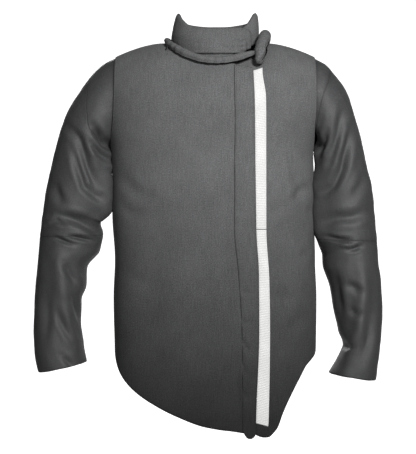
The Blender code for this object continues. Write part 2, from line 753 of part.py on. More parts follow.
def neck_roll(collection):
    """The stuffed roll round the foot of the collar, fatter at its end on the left front."""
    start, end = ROLL_ROWS[0][0], ROLL_ROWS[-1][0]

    def middle(angle):
        reach, wide, high = (
            read(ROLL_ROWS, ROLL_COLUMNS, name, angle) for name in ROLL_COLUMNS[1:]
        )
        turn, level = neck_spot(angle, reach)
        face = neck_face(angle, reach)
        depth = underlap_depth(turn, level) if angle < ROLL_ON_LEFT_FRONT else 0.0
        normal = body_normal(turn, level, face)
        flat = math.hypot(normal.x, normal.y)
        support = math.hypot(flat * wide, normal.z * high) + ROLL_GAP
        return body_point(turn, level, face, depth - support)

    def point(along, around):
        angle = mix(start, end, along)
        run = (middle(min(end, angle + 2)) - middle(max(start, angle - 2))).normalized()
        outward = run.cross(Vector((0, 0, 1))).normalized()
        upward = outward.cross(run).normalized()
        wide = read(ROLL_ROWS, ROLL_COLUMNS, "half_width", angle)
        high = read(ROLL_ROWS, ROLL_COLUMNS, "half_height", angle)
        round_angle = (around % 1.0) * 2 * math.pi
        across = outward * wide * math.cos(round_angle)
        return middle(angle) + across + upward * high * math.sin(round_angle)

    bm = bmesh.new()
    bmesh.ops.create_grid(bm, x_segments=ROLL_STEPS, y_segments=ROLL_ROUND_STEPS, size=0.5)
    for vert in bm.verts:
        vert.co = point(vert.co.x + 0.5, vert.co.y + 0.5)
    bmesh.ops.remove_doubles(bm, verts=bm.verts[:], dist=0.00001)
    bmesh.ops.holes_fill(bm, edges=bm.edges[:], sides=ROLL_ROUND_STEPS)
    return finish("neck_roll", bm, ROLL_COLOUR, 0.7, collection)


# ---------------------------------------------------------------- the whole jacket
def main():
    """Clear the scene and make every piece."""
    for old in list(bpy.data.objects):
        bpy.data.objects.remove(old)
    collection = bpy.data.collections.new("fencing_jacket")
    bpy.context.scene.collection.children.link(collection)
    right_front(collection)
    left_front(collection)
    back(collection)
    front_band(collection)
    tape("tape_upper", TAPE_JOINT + SEAM, TAPE_TOP, 0.0, TAPE_TOP_SLANT, collection)
    tape("tape_lower", TAPE_FOOT, TAPE_JOINT - SEAM, TAPE_FOOT_SLANT, 0.0, collection)
    sleeve(-1, "right", RIGHT_RINGS, RIGHT_CAP_ROWS, collection)
    sleeve(1, "left", LEFT_RINGS, LEFT_CAP_ROWS, collection)
    collar(collection)
    neck_roll(collection)


main()
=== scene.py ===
# %% [markdown]
# # A padded fencing coach's jacket
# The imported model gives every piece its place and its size. This lesson gives each of those
# pieces its cloth: fine curved walls with rounded, padded edges, creases, stitching and a weave.
# The front of the jacket faces -Y, and all sizes are in metres.

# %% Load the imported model
import math

import bpy
import numpy as np
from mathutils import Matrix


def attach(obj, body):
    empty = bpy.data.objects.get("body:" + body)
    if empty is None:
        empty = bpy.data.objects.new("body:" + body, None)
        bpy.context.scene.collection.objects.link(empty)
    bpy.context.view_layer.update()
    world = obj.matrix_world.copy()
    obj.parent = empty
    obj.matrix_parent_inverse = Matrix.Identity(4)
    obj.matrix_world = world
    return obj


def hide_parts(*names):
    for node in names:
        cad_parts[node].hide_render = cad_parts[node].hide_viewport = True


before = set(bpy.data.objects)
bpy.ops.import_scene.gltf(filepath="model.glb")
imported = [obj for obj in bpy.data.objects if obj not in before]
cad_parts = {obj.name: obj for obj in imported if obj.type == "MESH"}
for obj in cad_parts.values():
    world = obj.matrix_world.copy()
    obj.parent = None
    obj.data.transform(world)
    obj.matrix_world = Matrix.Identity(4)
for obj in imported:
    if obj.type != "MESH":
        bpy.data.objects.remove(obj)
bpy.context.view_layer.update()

# %% [markdown]
# ## The form under the cloth
# A tailor drapes cloth on a dress form. Here the form is a formula: level sections of the chest,
# closed over the shoulders like a dome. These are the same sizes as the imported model's, so every
# piece of cloth made on it lies where its solid lies. Plain numbers in short tables are easy to
# change, and a smooth curve through the rows fills in what lies between them.

# %% Sizes of the body form
DOME_START = -0.140
DOME_HEIGHT = 0.140
DOME_LENGTH = DOME_HEIGHT * math.pi / 2
SHOULDER_LEVEL = DOME_START + DOME_LENGTH
SIDE_FLATNESS = 0.8
SHOULDER_RISE = 0.002
SHOULDER_FLAT = 0.110
SHOULDER_FALL = 1.2
SHOULDER_POWER = 1.6
SHOULDER_BLEND = -0.160
BODY_COLUMNS = ("level", "half", "front", "back", "lean")
BODY_ROWS = (
    (-0.810, 0.2050, 0.1210, 0.112, 0.0000),
    (-0.630, 0.2075, 0.1270, 0.119, 0.0005),
    (-0.520, 0.2093, 0.1310, 0.124, 0.0000),
    (-0.445, 0.2065, 0.1310, 0.125, 0.0000),
    (-0.350, 0.2080, 0.1350, 0.127, -0.0040),
    (-0.280, 0.2080, 0.1370, 0.127, -0.0040),
    (-0.225, 0.2085, 0.1380, 0.126, -0.0060),
    (-0.180, 0.2180, 0.1380, 0.125, -0.0040),
    (-0.140, 0.2290, 0.1380, 0.125, -0.0010),
    (-0.090, 0.2350, 0.1380, 0.125, 0.0000),
    (0.080, 0.2360, 0.1380, 0.125, 0.0000),
)


def mix(low, high, share):
    """The value that lies the given share of the way from low to high."""
    return low + (high - low) * share


def ease(value, low, high):
    """A soft step from 0 at low to 1 at high."""
    share = np.clip((value - low) / (high - low), 0, 1)
    return share * share * (3 - 2 * share)


def read(rows, columns, name, keys):
    """One column of a table at many keys, on a smooth curve through its rows."""
    key = np.array([row[0] for row in rows], dtype=float)
    value = np.array([row[columns.index(name)] for row in rows], dtype=float)
    slope = np.diff(value) / np.diff(key)
    product = slope[:-1] * slope[1:]
    total = np.where(product > 0, slope[:-1] + slope[1:], 1.0)
    tangent = np.concatenate(([0.0], np.where(product > 0, 2 * product / total, 0.0), [0.0]))
    keys = np.clip(keys, key[0], key[-1])
    row = np.clip(np.searchsorted(key, keys, side="right") - 1, 0, len(key) - 2)
    span = key[row + 1] - key[row]
    share = (keys - key[row]) / span
    low = (2 * share ** 3 - 3 * share ** 2 + 1) * value[row]
    high = (3 * share ** 2 - 2 * share ** 3) * value[row + 1]
    leaving = (share ** 3 - 2 * share ** 2 + share) * span * tangent[row]
    arriving = (share ** 3 - share ** 2) * span * tangent[row + 1]
    return low + high + leaving + arriving


# %% A point of the form, and the way it faces
NUDGE = 0.002
HALF_SEAM = 0.00015


def body(name, level):
    """One size of the body's section at a level."""
    return read(BODY_ROWS, BODY_COLUMNS, name, level)


def body_surface(turn, level, face):
    """Points on the form: turn is the angle round from the middle, face 1 in front and -1 behind."""
    turn, level, face = np.broadcast_arrays(turn, level, face)
    reach = np.where(face > 0, body("front", level), body("back", level))
    rise = np.clip((level - DOME_START) / DOME_LENGTH * math.pi / 2, 0, math.pi / 2)
    reach = reach * np.cos(rise)
    height = np.minimum(level, DOME_START) + DOME_HEIGHT * np.sin(rise)
    across = body("lean", level) + body("half", level) * np.sin(turn)
    forward = reach * np.maximum(0.0, np.cos(turn)) ** SIDE_FLATNESS
    past = np.maximum(0.0, np.abs(across) - SHOULDER_FLAT)
    drop = SHOULDER_RISE - SHOULDER_FALL * past ** SHOULDER_POWER
    height = height + drop * ease(level, SHOULDER_BLEND, SHOULDER_LEVEL)
    return np.stack((across, -face * (forward + HALF_SEAM), height), axis=-1)


def unit(vectors):
    """Vectors brought to a length of 1."""
    return vectors / np.maximum(np.linalg.norm(vectors, axis=-1, keepdims=True), 1e-12)


def body_normal(turn, level, face):
    """The outward direction at points of the form."""
    quarter = math.pi / 2
    run = body_surface(np.minimum(quarter, turn + NUDGE), level, face)
    run = run - body_surface(np.maximum(-quarter, turn - NUDGE), level, face)
    rise = body_surface(turn, np.minimum(SHOULDER_LEVEL, level + NUDGE), face)
    rise = rise - body_surface(turn, level - NUDGE, face)
    return unit(np.cross(run, rise)) * np.asarray(face)[..., None]


def body_point(turn, level, face, depth):
    """Points the given depth under the form's surface."""
    inward = np.broadcast_to(depth, np.shape(turn))[..., None]
    return body_surface(turn, level, face) - body_normal(turn, level, face) * inward


print("chest girth:", round(float(np.sum(np.linalg.norm(np.diff(body_surface(
    np.linspace(-math.pi / 2, math.pi / 2, 200), -0.3, 1), axis=0), axis=1))) * 2, 3), "m")

# %% [markdown]
# ## The lines that a cutter would chalk
# A pattern piece is known by its edges: hem, side seam, armhole, shoulder seam, neck and front
# edge. Each edge here is a function from 0 to 1 that gives a turn and a level on the form. A
# piece could be modelled by cutting these lines out of the form, but filling in between four
# edges gives an even grid of faces, and the cloth's edges come out smooth.

# %% Armhole, side seam, shoulder seam and neck
ARMPIT = -0.222
ARMHOLE_HALF = 0.206
ARMHOLE_FOOT = 0.055
ARMPIT_SHARE = 12 / 22
SIDE_HEM = -0.633
NECK_HALF = 0.094
NECK_DEPTH = 0.0815
NECK_BACK = -0.0195
NECK_POINT = 98.3
LOW_NECK_COLUMNS = ("angle", "reach")
LOW_NECK_ROWS = ((-100, 1.0), (0, 1.0), (15, 1.08), (25, 1.20), (36.0, 1.36))
LOW_NECK_CORNER = 36.0


def level_at(height):
    """The level up the cloth of a height on the front or back."""
    over = np.clip((height - DOME_START) / DOME_HEIGHT, 0, 1)
    return np.where(height <= DOME_START, height, DOME_START + DOME_LENGTH * np.arcsin(over) * 2 / math.pi)


def turn_at(across, level):
    """The turn at which the section of a level lies that far across."""
    return np.arcsin(np.clip((across - body("lean", level)) / body("half", level), -1, 1))


def neck_spot(angle, reach=1.0):
    """Turn and level of the neck hole's edge, by the angle from the middle of the front."""
    across = NECK_HALF * reach * np.sin(np.radians(angle))
    forward = NECK_DEPTH * reach * np.cos(np.radians(angle)) - NECK_BACK
    turn = turn_at(across, SHOULDER_LEVEL)
    depth = np.where(forward >= 0, body("front", SHOULDER_LEVEL), body("back", SHOULDER_LEVEL))
    rise = np.arccos(np.minimum(1.0, np.abs(forward) / (depth * np.cos(turn) ** SIDE_FLATNESS)))
    return turn, DOME_START + DOME_LENGTH * rise / (math.pi / 2)


def neck_face(angle, reach=1.0):
    """1 where the neck hole's edge lies on the front of the form, -1 where it is on the back."""
    return np.where(NECK_DEPTH * reach * np.cos(np.radians(angle)) >= NECK_BACK, 1, -1)


def armhole_turn(level):
    """The turn of the armhole's edge at a level, on the wearer's left."""
    half = body("half", level)
    share = np.clip((level - ARMPIT) / ARMHOLE_FOOT, 0, 1)
    across = ARMHOLE_HALF + (half - ARMHOLE_HALF) * (1 - share) ** 2
    return np.arcsin(np.minimum(1.0, across / half))


def armhole_level(share):
    """Level of the armhole's edge, from the armpit at 0 up to the shoulder seam at 1."""
    return ARMPIT + (SHOULDER_LEVEL - ARMPIT) * (1 - np.cos(share * math.pi / 2))


def side_edge(side):
    """Side seam and armhole of a panel, from the hem to the shoulder; side is 1 on the left."""
    def edge(share):
        rise = np.clip((share - ARMPIT_SHARE) / (1 - ARMPIT_SHARE), 0, 1)
        below = share <= ARMPIT_SHARE
        level = np.where(below, mix(SIDE_HEM, ARMPIT, share / ARMPIT_SHARE), armhole_level(rise))
        return side * np.where(below, math.pi / 2, armhole_turn(level)), level
    return edge


def shoulder_spot(side, share):
    """A spot on the shoulder seam, from the neck at 0 to the armhole at 1."""
    neck = NECK_HALF * math.sin(math.radians(NECK_POINT))
    turn = side * turn_at(mix(neck, ARMHOLE_HALF, share), SHOULDER_LEVEL)
    return turn, np.full(np.shape(turn), SHOULDER_LEVEL)


def front_top(side, angle, neck_part, low_neck):
    """Neck edge from an angle to the neck point, then the shoulder seam."""
    def edge(share):
        arc = np.clip(share / neck_part, 0, 1)
        here = mix(angle, side * NECK_POINT, arc)
        reach = read(LOW_NECK_ROWS, LOW_NECK_COLUMNS, "reach", here) if low_neck else 1.0
        turn, level = neck_spot(here, reach)
        level = mix(level, SHOULDER_LEVEL, ease(arc, 0.86, 1.0))
        seam_turn, seam_level = shoulder_spot(side, np.clip((share - neck_part) / (1 - neck_part), 0, 1))
        on_neck = share <= neck_part
        return np.where(on_neck, turn, seam_turn), np.where(on_neck, level, seam_level)
    return edge


def back_top(share):
    """Right shoulder seam, back of the neck and left shoulder seam."""
    steps = share * 18
    arc = np.clip((steps - 4) / 10, 0, 1)
    turn, level = neck_spot(mix(-NECK_POINT, NECK_POINT - 360, arc))
    level = mix(SHOULDER_LEVEL, level, ease(arc, 0, 0.1) * ease(1 - arc, 0, 0.1))
    right_turn, right_level = shoulder_spot(-1, np.clip(1 - steps / 4, 0, 1))
    left_turn, left_level = shoulder_spot(1, np.clip((steps - 14) / 4, 0, 1))
    turn = np.where(steps <= 4, right_turn, np.where(steps >= 14, left_turn, turn))
    return turn, np.where(steps <= 4, right_level, np.where(steps >= 14, left_level, level))


def between(foot, head, start, end):
    """Turn and level inside four edges, at a share along and a share up."""
    def spot(along, up):
        corners = [edge(np.array([0.0, 1.0])) for edge in (foot, head)]
        values = []
        for axis in (0, 1):
            rule = mix(foot(along)[axis], head(along)[axis], up)
            rule = rule + mix(start(up)[axis], end(up)[axis], along)
            low = mix(corners[0][axis][0], corners[0][axis][1], along)
            high = mix(corners[1][axis][0], corners[1][axis][1], along)
            values.append(rule - mix(low, high, up))
        return values
    return spot


# %% Hems and the closing
HEM_COLUMNS = ("turn", "height")
RIGHT_HEM_ROWS = (
    (-90.0, -0.633), (-81.0, -0.650), (-75.0, -0.664), (-64.0, -0.686), (-51.6, -0.7073),
    (-37.9, -0.7284), (-23.0, -0.750), (-5.5, -0.7710), (9.1, -0.7791), (24.0, -0.7860),
)
LEFT_HEM_ROWS = (
    (8.0, -0.762), (14.0, -0.770), (21.2, -0.785), (25.8, -0.794), (28.9, -0.7963),
    (31.8, -0.7956), (35.0, -0.787), (38.2, -0.7742), (40.5, -0.7546), (46.0, -0.722),
    (55.2, -0.682), (63.8, -0.6556), (80.0, -0.639), (90.0, -0.633),
)
CLOSING_COLUMNS = ("height", "edge", "band", "tape")
CLOSING_ROWS = (
    (-0.800, 0.0800, 0.0545, 0.1055),
    (-0.758, 0.0807, 0.0543, 0.1077),
    (-0.589, 0.0865, 0.0520, 0.1104),
    (-0.483, 0.0860, 0.0455, 0.1090),
    (-0.383, 0.0807, 0.0375, 0.1030),
    (-0.223, 0.0783, 0.0375, 0.1025),
    (-0.123, 0.0771, 0.0375, 0.1016),
    (-0.060, 0.0752, 0.0375, 0.0950),
)
HEM_PRESS = 0.0022
UNDERLAP_EDGE = 0.030
UNDERLAP_DEPTH = 0.0098
UNDERLAP_RUNOUT = 0.060


def hem(rows, start, end):
    """The hem between two turns, at the heights of a table."""
    def edge(share):
        turn = mix(start, end, share)
        return turn, read(rows, HEM_COLUMNS, "height", np.degrees(turn)) - HEM_PRESS * np.cos(turn)
    return edge


def closing_across(name, level):
    """How far across a line of the closing lies at a level."""
    return read(CLOSING_ROWS, CLOSING_COLUMNS, name, level)


def closing_line(name, foot, head, shift=0.0):
    """A line down the closing, between two levels."""
    def edge(share):
        level = mix(foot, head, share)
        return turn_at(closing_across(name, level) + shift, level), level
    return edge


def drawn_to(edge, corner):
    """The same edge, drawn gently so that its upper end meets a corner."""
    gap = [corner[axis] - edge(1.0)[axis] for axis in (0, 1)]

    def drawn(share):
        spot = edge(share)
        return spot[0] + gap[0] * share ** 6, spot[1] + gap[1] * share ** 6
    return drawn


def underlap_depth(turn, level):
    """How deep the left front lies under the form, where the right front laps over it."""
    across = body("lean", level) + body("half", level) * np.sin(turn)
    edge = closing_across("edge", level)
    beside = 1 - ease(across - edge, 0, UNDERLAP_RUNOUT)
    return UNDERLAP_DEPTH * beside * (1 - ease(level, -0.03, 0.05))


# %% [markdown]
# ## Cloth with a thickness
# Padded cloth is a wall: an outside, an inside, and an edge where the two are turned in and
# sewn. A Solidify modifier gives an even wall with a square edge. This jacket's edges are thick
# and round, so each piece starts as a grid, is draped on its form, and is then extruded to its
# inside, with the two skins drawn together near the edges. More lines run near the edges, where
# the curve is tight. Each point also keeps how close to an edge or seam it is, and the material
# darkens the cloth there as painted shade.

# %% Grids, directions and distances
def crowd(share, amount):
    """Draws evenly spaced shares towards both ends, where rounded edges need more lines."""
    return share - amount * np.sin(2 * math.pi * share) / (2 * math.pi)


def shares(columns, rows, crowding=(0.7, 0.7)):
    """The share along and the share up of every point of a grid."""
    along, up = np.meshgrid(np.linspace(0, 1, columns + 1), np.linspace(0, 1, rows + 1))
    return crowd(along, crowding[0]), crowd(up, crowding[1])


def normals_of(points, outward, tube=False):
    """The outward direction at every point of a grid."""
    if tube:
        ring = points[:, :-1]
        run = np.roll(ring, -1, axis=1) - np.roll(ring, 1, axis=1)
        run = np.concatenate((run, run[:, :1]), axis=1)
    else:
        run = np.gradient(points, axis=1)
    return unit(np.cross(run, np.gradient(points, axis=0))) * outward


def edge_distances(points):
    """How far every point of a grid lies from its start, end, foot and head, along the cloth."""
    step = np.linalg.norm(np.diff(points, axis=1), axis=2)
    from_start = np.pad(np.cumsum(step, axis=1), ((0, 0), (1, 0)))
    step = np.linalg.norm(np.diff(points, axis=0), axis=2)
    from_foot = np.pad(np.cumsum(step, axis=0), ((1, 0), (0, 0)))
    return from_start, from_start[:, -1:] - from_start, from_foot, from_foot[-1:] - from_foot


def cut_size(points):
    """The width, length and area that a grid of cloth was cut to."""
    from_start, _end, from_foot, _head = edge_distances(points)
    run = np.diff(points, axis=1)[:-1]
    rise = np.diff(points, axis=0)[:, :-1]
    area = np.sum(np.linalg.norm(np.cross(run, rise), axis=2))
    return float(from_start[:, -1].max()), float(from_foot[-1].max()), float(area)


# %% One wall of cloth
RIM = (0.0022, 0.008)
SEAM = (0.0014, 0.005)
NO_RIM = (0.0, 0.001)
skins = {}


def drop_near(distances, rims, tube):
    """How far the outside is drawn in near each edge, on a quarter circle."""
    total = 0.0
    for place, (distance, (drop, reach)) in enumerate(zip(distances, rims)):
        if tube and place < 2:
            continue
        share = np.clip(1 - distance / reach, 0, 1)
        total = total + (drop * (1 - np.sqrt(1 - share ** 2))) ** 3
    return np.cbrt(total)


def edge_closeness(distances, tube):
    """1 on an edge or seam, fading to nothing a few millimetres in."""
    used = distances[2:] if tube else distances
    return np.exp(-np.minimum.reduce(used) / 0.004)


def set_attribute(mesh, name, kind, values):
    """Give every point of a mesh a number."""
    layer = mesh.attributes.new(name, kind, "POINT")
    layer.data.foreach_set("value", np.ascontiguousarray(values).ravel())


def cloth_wall(name, form, wall, rims, outward=1, lift=0.0, moves=None, weave=None, tube=False):
    """Model one piece of cloth from a grid: drape it, extrude it to its inside, and round its edges."""
    rows, columns = form.shape[0] - 1, form.shape[1] - 1
    normal = normals_of(form, outward, tube)
    distances = edge_distances(form)
    drop = drop_near(distances, rims, tube)
    moved = 0.0 if moves is None else moves(form, normal)
    outer = form + normal * (lift - drop - moved)[..., None]
    inner = form + normal * (lift - wall + np.minimum(drop, wall * 0.40) - moved)[..., None]

    bpy.ops.object.select_all(action="DESELECT")
    bpy.ops.mesh.primitive_grid_add(x_subdivisions=columns, y_subdivisions=rows, size=1)
    piece = bpy.context.object
    piece.name = name
    mesh = piece.data
    count = len(mesh.vertices)
    set_attribute(mesh, "station", "INT", np.arange(count, dtype=np.int32))
    # Closeness to edges and seams, which the material darkens as painted shade.
    set_attribute(mesh, "edge", "FLOAT", edge_closeness(distances, tube).astype(np.float32))
    mesh.vertices.foreach_set("co", outer.reshape(-1))
    corner = np.empty(len(mesh.loops), dtype=np.int32)
    mesh.loops.foreach_get("vertex_index", corner)
    mesh.uv_layers[0].data.foreach_set("uv", weave.reshape(-1, 2)[corner].ravel())

    bpy.ops.object.mode_set(mode="EDIT")
    bpy.ops.mesh.select_all(action="SELECT")
    if tube:
        bpy.ops.mesh.remove_doubles(threshold=0.00001)
    bpy.ops.mesh.extrude_region()
    bpy.ops.object.mode_set(mode="OBJECT")
    count = len(mesh.vertices)
    chosen = np.empty(count, dtype=bool)
    mesh.vertices.foreach_get("select", chosen)
    station = np.empty(count, dtype=np.int32)
    mesh.attributes["station"].data.foreach_get("value", station)
    places = np.empty(count * 3)
    mesh.vertices.foreach_get("co", places)
    places = places.reshape(-1, 3)
    places[chosen] = inner.reshape(-1, 3)[station[chosen]]
    mesh.vertices.foreach_set("co", places.ravel())
    mesh.attributes.remove(mesh.attributes["station"])

    bpy.ops.object.mode_set(mode="EDIT")
    bpy.ops.mesh.select_all(action="SELECT")
    bpy.ops.mesh.normals_make_consistent(inside=False)
    bpy.ops.object.mode_set(mode="OBJECT")
    bpy.ops.object.shade_smooth()
    skins[name] = (outer, normal)
    print(name, "has", len(mesh.polygons), "faces")
    return piece


def hang(piece, node, form):
    """Hide the solid the cloth stands for, and say which it is and the size it was cut to."""
    width, length, area = cut_size(form)
    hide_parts(node)
    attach(piece, "root")
    print(node, "cut:", round(width, 3), "x", round(length, 3), "m,", round(area, 4), "m2")


def lumps(piece, size, strength):
    """Loosen a piece a little, with a soft noise pushed in and out of its surface."""
    texture = bpy.data.textures.new(piece.name + "_lumps", "CLOUDS")
    texture.noise_scale = size
    modifier = piece.modifiers.new("lumps", "DISPLACE")
    modifier.texture = texture
    modifier.texture_coords = "LOCAL"
    modifier.strength = strength
    bpy.context.view_layer.objects.active = piece
    bpy.ops.object.modifier_apply(modifier="lumps")


# %% [markdown]
# ## Creases
# Cloth creases where it is bent or pushed together: at the elbow, in the armpit, and where the
# closing holds the front. Sculpting them is one way and a cloth simulation another. Here they
# are drawn: each is a short line of points with a width and a depth, and the cloth sinks softly
# along it and rises a little on both sides. The points are where the eye sees them from in
# front, on the upright plane through the neck. A depth below 0 makes a ridge.

# %% How a crease moves the cloth
EYE = (-0.0145, -2.6, -0.377)
LIP = 0.16
HIDDEN_SHIFT = (0.004, -0.022)


def seen_from_front(points):
    """Across and up of points, as seen from in front on the upright plane through the neck."""
    scale = -EYE[1] / (points[..., 1] - EYE[1])
    across = EYE[0] + (points[..., 0] - EYE[0]) * scale
    return across, EYE[2] + (points[..., 2] - EYE[2]) * scale


def crease(across, up, line, width, depth):
    """How far one crease moves the cloth in, at points across and up."""
    best = np.full(across.shape, 1e9)
    place = np.zeros(across.shape)
    lengths = [math.hypot(b[0] - a[0], b[1] - a[1]) for a, b in zip(line, line[1:])]
    walked = 0.0
    for (start, end), length in zip(zip(line, line[1:]), lengths):
        run, rise = end[0] - start[0], end[1] - start[1]
        share = np.clip(((across - start[0]) * run + (up - start[1]) * rise) / length ** 2, 0, 1)
        gap = np.hypot(across - start[0] - share * run, up - start[1] - share * rise)
        nearer = gap < best
        place = np.where(nearer, (walked + share * length) / sum(lengths), place)
        best = np.minimum(best, gap)
        walked += length
    fade = np.sin(math.pi * np.clip(place, 0.04, 0.96)) ** 0.7
    ends = np.clip(best / width, 0, 6)
    sink = np.exp(-ends ** 2) - LIP * np.exp(-(ends - 1.8) ** 2 / 0.5)
    return depth * fade * sink


def creases(lines, hidden=1.0):
    """Move the cloth in along the lines, in front, and along like ones behind."""
    def moves(points, normal):
        across, up = seen_from_front(points)
        front = ease(-normal[..., 1], -0.30, 0.35)
        behind = ease(normal[..., 1], -0.30, 0.35) * hidden
        total = np.zeros(across.shape)
        for line, width, depth in lines:
            total += front * crease(across, up, line, width, depth)
            shifted = [(x + HIDDEN_SHIFT[0], z + HIDDEN_SHIFT[1]) for x, z in line]
            total += behind * crease(points[..., 0], points[..., 2], shifted, width * 1.2, depth * 0.8)
        return total
    return moves


# %% [markdown]
# ## The padded body panels
# The right front, the left front and the back are thick felted panels, about 6 mm through. The
# right front laps over the left and comes to a low point. Each is laid out between its four
# edges. The weave runs straight up the body, so its map is the way round the form and the level.

# %% The way round the form, for the weave
def weave_on_body(turn, level):
    """A flat map of the cloth on the body, in metres: the way round and the level."""
    turns = np.linspace(-math.pi / 2, math.pi / 2, 400)
    steps = np.linalg.norm(np.diff(body_surface(turns, -0.3, 1), axis=0), axis=1)
    way = np.concatenate(([0.0], np.cumsum(steps)))
    return np.stack((np.interp(turn, turns, way), level), axis=-1)


# %% Creases in the fronts and the back
PANEL_WALL = 0.006
RIGHT_FRONT_CREASES = (
    (((-0.150, -0.620), (-0.120, -0.500), (-0.118, -0.380)), 0.030, 0.0030),
    (((-0.020, -0.700), (-0.035, -0.560), (-0.020, -0.420)), 0.036, 0.0028),
    (((-0.196, -0.270), (-0.165, -0.305), (-0.120, -0.318)), 0.012, 0.0030),
    (((-0.196, -0.330), (-0.170, -0.352), (-0.140, -0.352)), 0.009, 0.0020),
    (((-0.185, -0.470), (-0.150, -0.492), (-0.110, -0.490)), 0.014, 0.0024),
    (((0.028, -0.300), (0.018, -0.430), (0.030, -0.560)), 0.012, 0.0016),
    (((0.002, -0.802), (0.026, -0.786), (0.046, -0.764)), 0.009, -0.0028),
    (((0.046, -0.650), (0.048, -0.720), (0.050, -0.770)), 0.005, 0.0022),
)
LEFT_FRONT_CREASES = (
    (((0.141, -0.226), (0.149, -0.282), (0.170, -0.342)), 0.010, -0.0040),
    (((0.199, -0.290), (0.178, -0.304), (0.158, -0.327)), 0.010, 0.0060),
    (((0.112, -0.350), (0.126, -0.345), (0.139, -0.335)), 0.006, 0.0030),
    (((0.115, -0.380), (0.137, -0.377), (0.157, -0.369)), 0.006, 0.0030),
    (((0.126, -0.508), (0.137, -0.520), (0.152, -0.514)), 0.014, 0.0045),
    (((0.140, -0.560), (0.156, -0.552), (0.170, -0.528)), 0.016, -0.0034),
    (((0.201, -0.354), (0.196, -0.344), (0.203, -0.334)), 0.006, 0.0032),
    (((0.150, -0.430), (0.157, -0.478), (0.152, -0.520)), 0.022, -0.0026),
    (((0.196, -0.420), (0.180, -0.440), (0.158, -0.436)), 0.009, 0.0028),
    (((0.190, -0.560), (0.165, -0.585), (0.132, -0.592)), 0.012, 0.0026),
)
BACK_CREASES = (
    (((-0.120, -0.120), (-0.060, -0.180), (0.020, -0.190)), 0.022, 0.0035),
    (((0.130, -0.130), (0.080, -0.200), (0.030, -0.230)), 0.020, 0.0032),
    (((-0.196, -0.300), (-0.130, -0.345), (-0.050, -0.350)), 0.014, 0.0040),
    (((0.196, -0.310), (0.140, -0.360), (0.070, -0.372)), 0.013, 0.0038),
    (((-0.180, -0.420), (-0.110, -0.450), (-0.030, -0.440)), 0.016, 0.0030),
    (((0.186, -0.440), (0.120, -0.475), (0.050, -0.470)), 0.015, 0.0030),
    (((-0.060, -0.620), (-0.075, -0.540), (-0.060, -0.460)), 0.026, 0.0030),
    (((0.070, -0.625), (0.085, -0.560), (0.075, -0.480)), 0.024, 0.0030),
)

# %% Right front
along, up = shares(130, 210)
right_edge = closing_line("edge", -0.786 - HEM_PRESS, float(level_at(-0.0605)), -0.0016)
right_hem = hem(RIGHT_HEM_ROWS, float(right_edge(0.0)[0]), -math.pi / 2)
right_top = front_top(-1, LOW_NECK_CORNER, 8 / 12, True)
corner = [float(value) for value in right_top(np.array(0.0))]
turn, level = between(right_hem, right_top, drawn_to(right_edge, corner), side_edge(-1))(along, up)
right_front_form = body_surface(turn, level, 1)
right_front = cloth_wall(
    "right_front_cloth", right_front_form, PANEL_WALL, (RIM, SEAM, RIM, SEAM), outward=-1,
    moves=creases(RIGHT_FRONT_CREASES), weave=weave_on_body(turn, level))
hang(right_front, "right_front", right_front_form)

# %% Left front
along, up = shares(96, 190)
LEFT_START = math.degrees(math.asin(UNDERLAP_EDGE / NECK_HALF))
left_top = front_top(1, LEFT_START, 6 / 10, False)
corner = [float(value) for value in left_top(np.array(0.0))]


def left_edge(share):
    """The left front's hidden edge, under the right front."""
    level = mix(-0.762, corner[1], share)
    return mix(turn_at(UNDERLAP_EDGE, level), corner[0], share ** 6), level


left_hem = hem(LEFT_HEM_ROWS, float(left_edge(0.0)[0]), math.pi / 2)
turn, level = between(left_hem, left_top, left_edge, side_edge(1))(along, up)
left_front_form = body_point(turn, level, 1, underlap_depth(turn, level))
left_front = cloth_wall(
    "left_front_cloth", left_front_form, PANEL_WALL, (RIM, SEAM, RIM, SEAM),
    moves=creases(LEFT_FRONT_CREASES), weave=weave_on_body(turn, level))
hang(left_front, "left_front", left_front_form)

# %% Back
BACK_SIDE_SHARE = 0.3
along, up = shares(130, 170)


def back_hem(share):
    """The level hem of the back."""
    return mix(-math.pi / 2, math.pi / 2, share), np.full(np.shape(share), SIDE_HEM)


turn, level = between(back_hem, back_top, side_edge(-1), side_edge(1))(along, up)
middle = ease(along, 0.0, BACK_SIDE_SHARE) * ease(1 - along, 0.0, BACK_SIDE_SHARE)
level = mix(level, mix(SIDE_HEM, back_top(along)[1], up), middle)
back_form = body_surface(turn, level, -1)
back_cloth = cloth_wall(
    "back_cloth", back_form, PANEL_WALL, (SEAM, SEAM, RIM, SEAM), outward=-1,
    moves=creases(BACK_CREASES), weave=weave_on_body(turn, level))
hang(back_cloth, "back", back_form)

# %% [markdown]
# ## The closing
# A folded band is sewn down the right front's edge and wraps round it, and ends below the hem in
# a small round tab. Beside it on the left front lies the white fastening tape, in two lengths.
# Both are thin strips laid on the panels, so they use the same wall of cloth, lifted off the
# form. The band's front edge dips far enough to cover the panel's rounded edge.

# %% Front band
LAID_ON = 0.0009
BAND_WALL = 0.0016
BAND_FOOT = -0.7965
BAND_TOP = float(level_at(-0.0625))
BAND_CREASES = (
    (((0.052, -0.505), (0.062, -0.515), (0.076, -0.512)), 0.006, 0.0020),
    (((0.050, -0.562), (0.062, -0.576), (0.076, -0.570)), 0.006, 0.0022),
    (((0.050, -0.606), (0.062, -0.624), (0.074, -0.636)), 0.006, 0.0026),
    (((0.052, -0.652), (0.060, -0.672), (0.072, -0.690)), 0.006, 0.0024),
    (((0.054, -0.716), (0.064, -0.728), (0.074, -0.727)), 0.006, 0.0016),
    (((0.040, -0.236), (0.052, -0.240), (0.066, -0.236)), 0.005, 0.0008),
    (((0.040, -0.350), (0.054, -0.346), (0.068, -0.350)), 0.005, 0.0009),
)


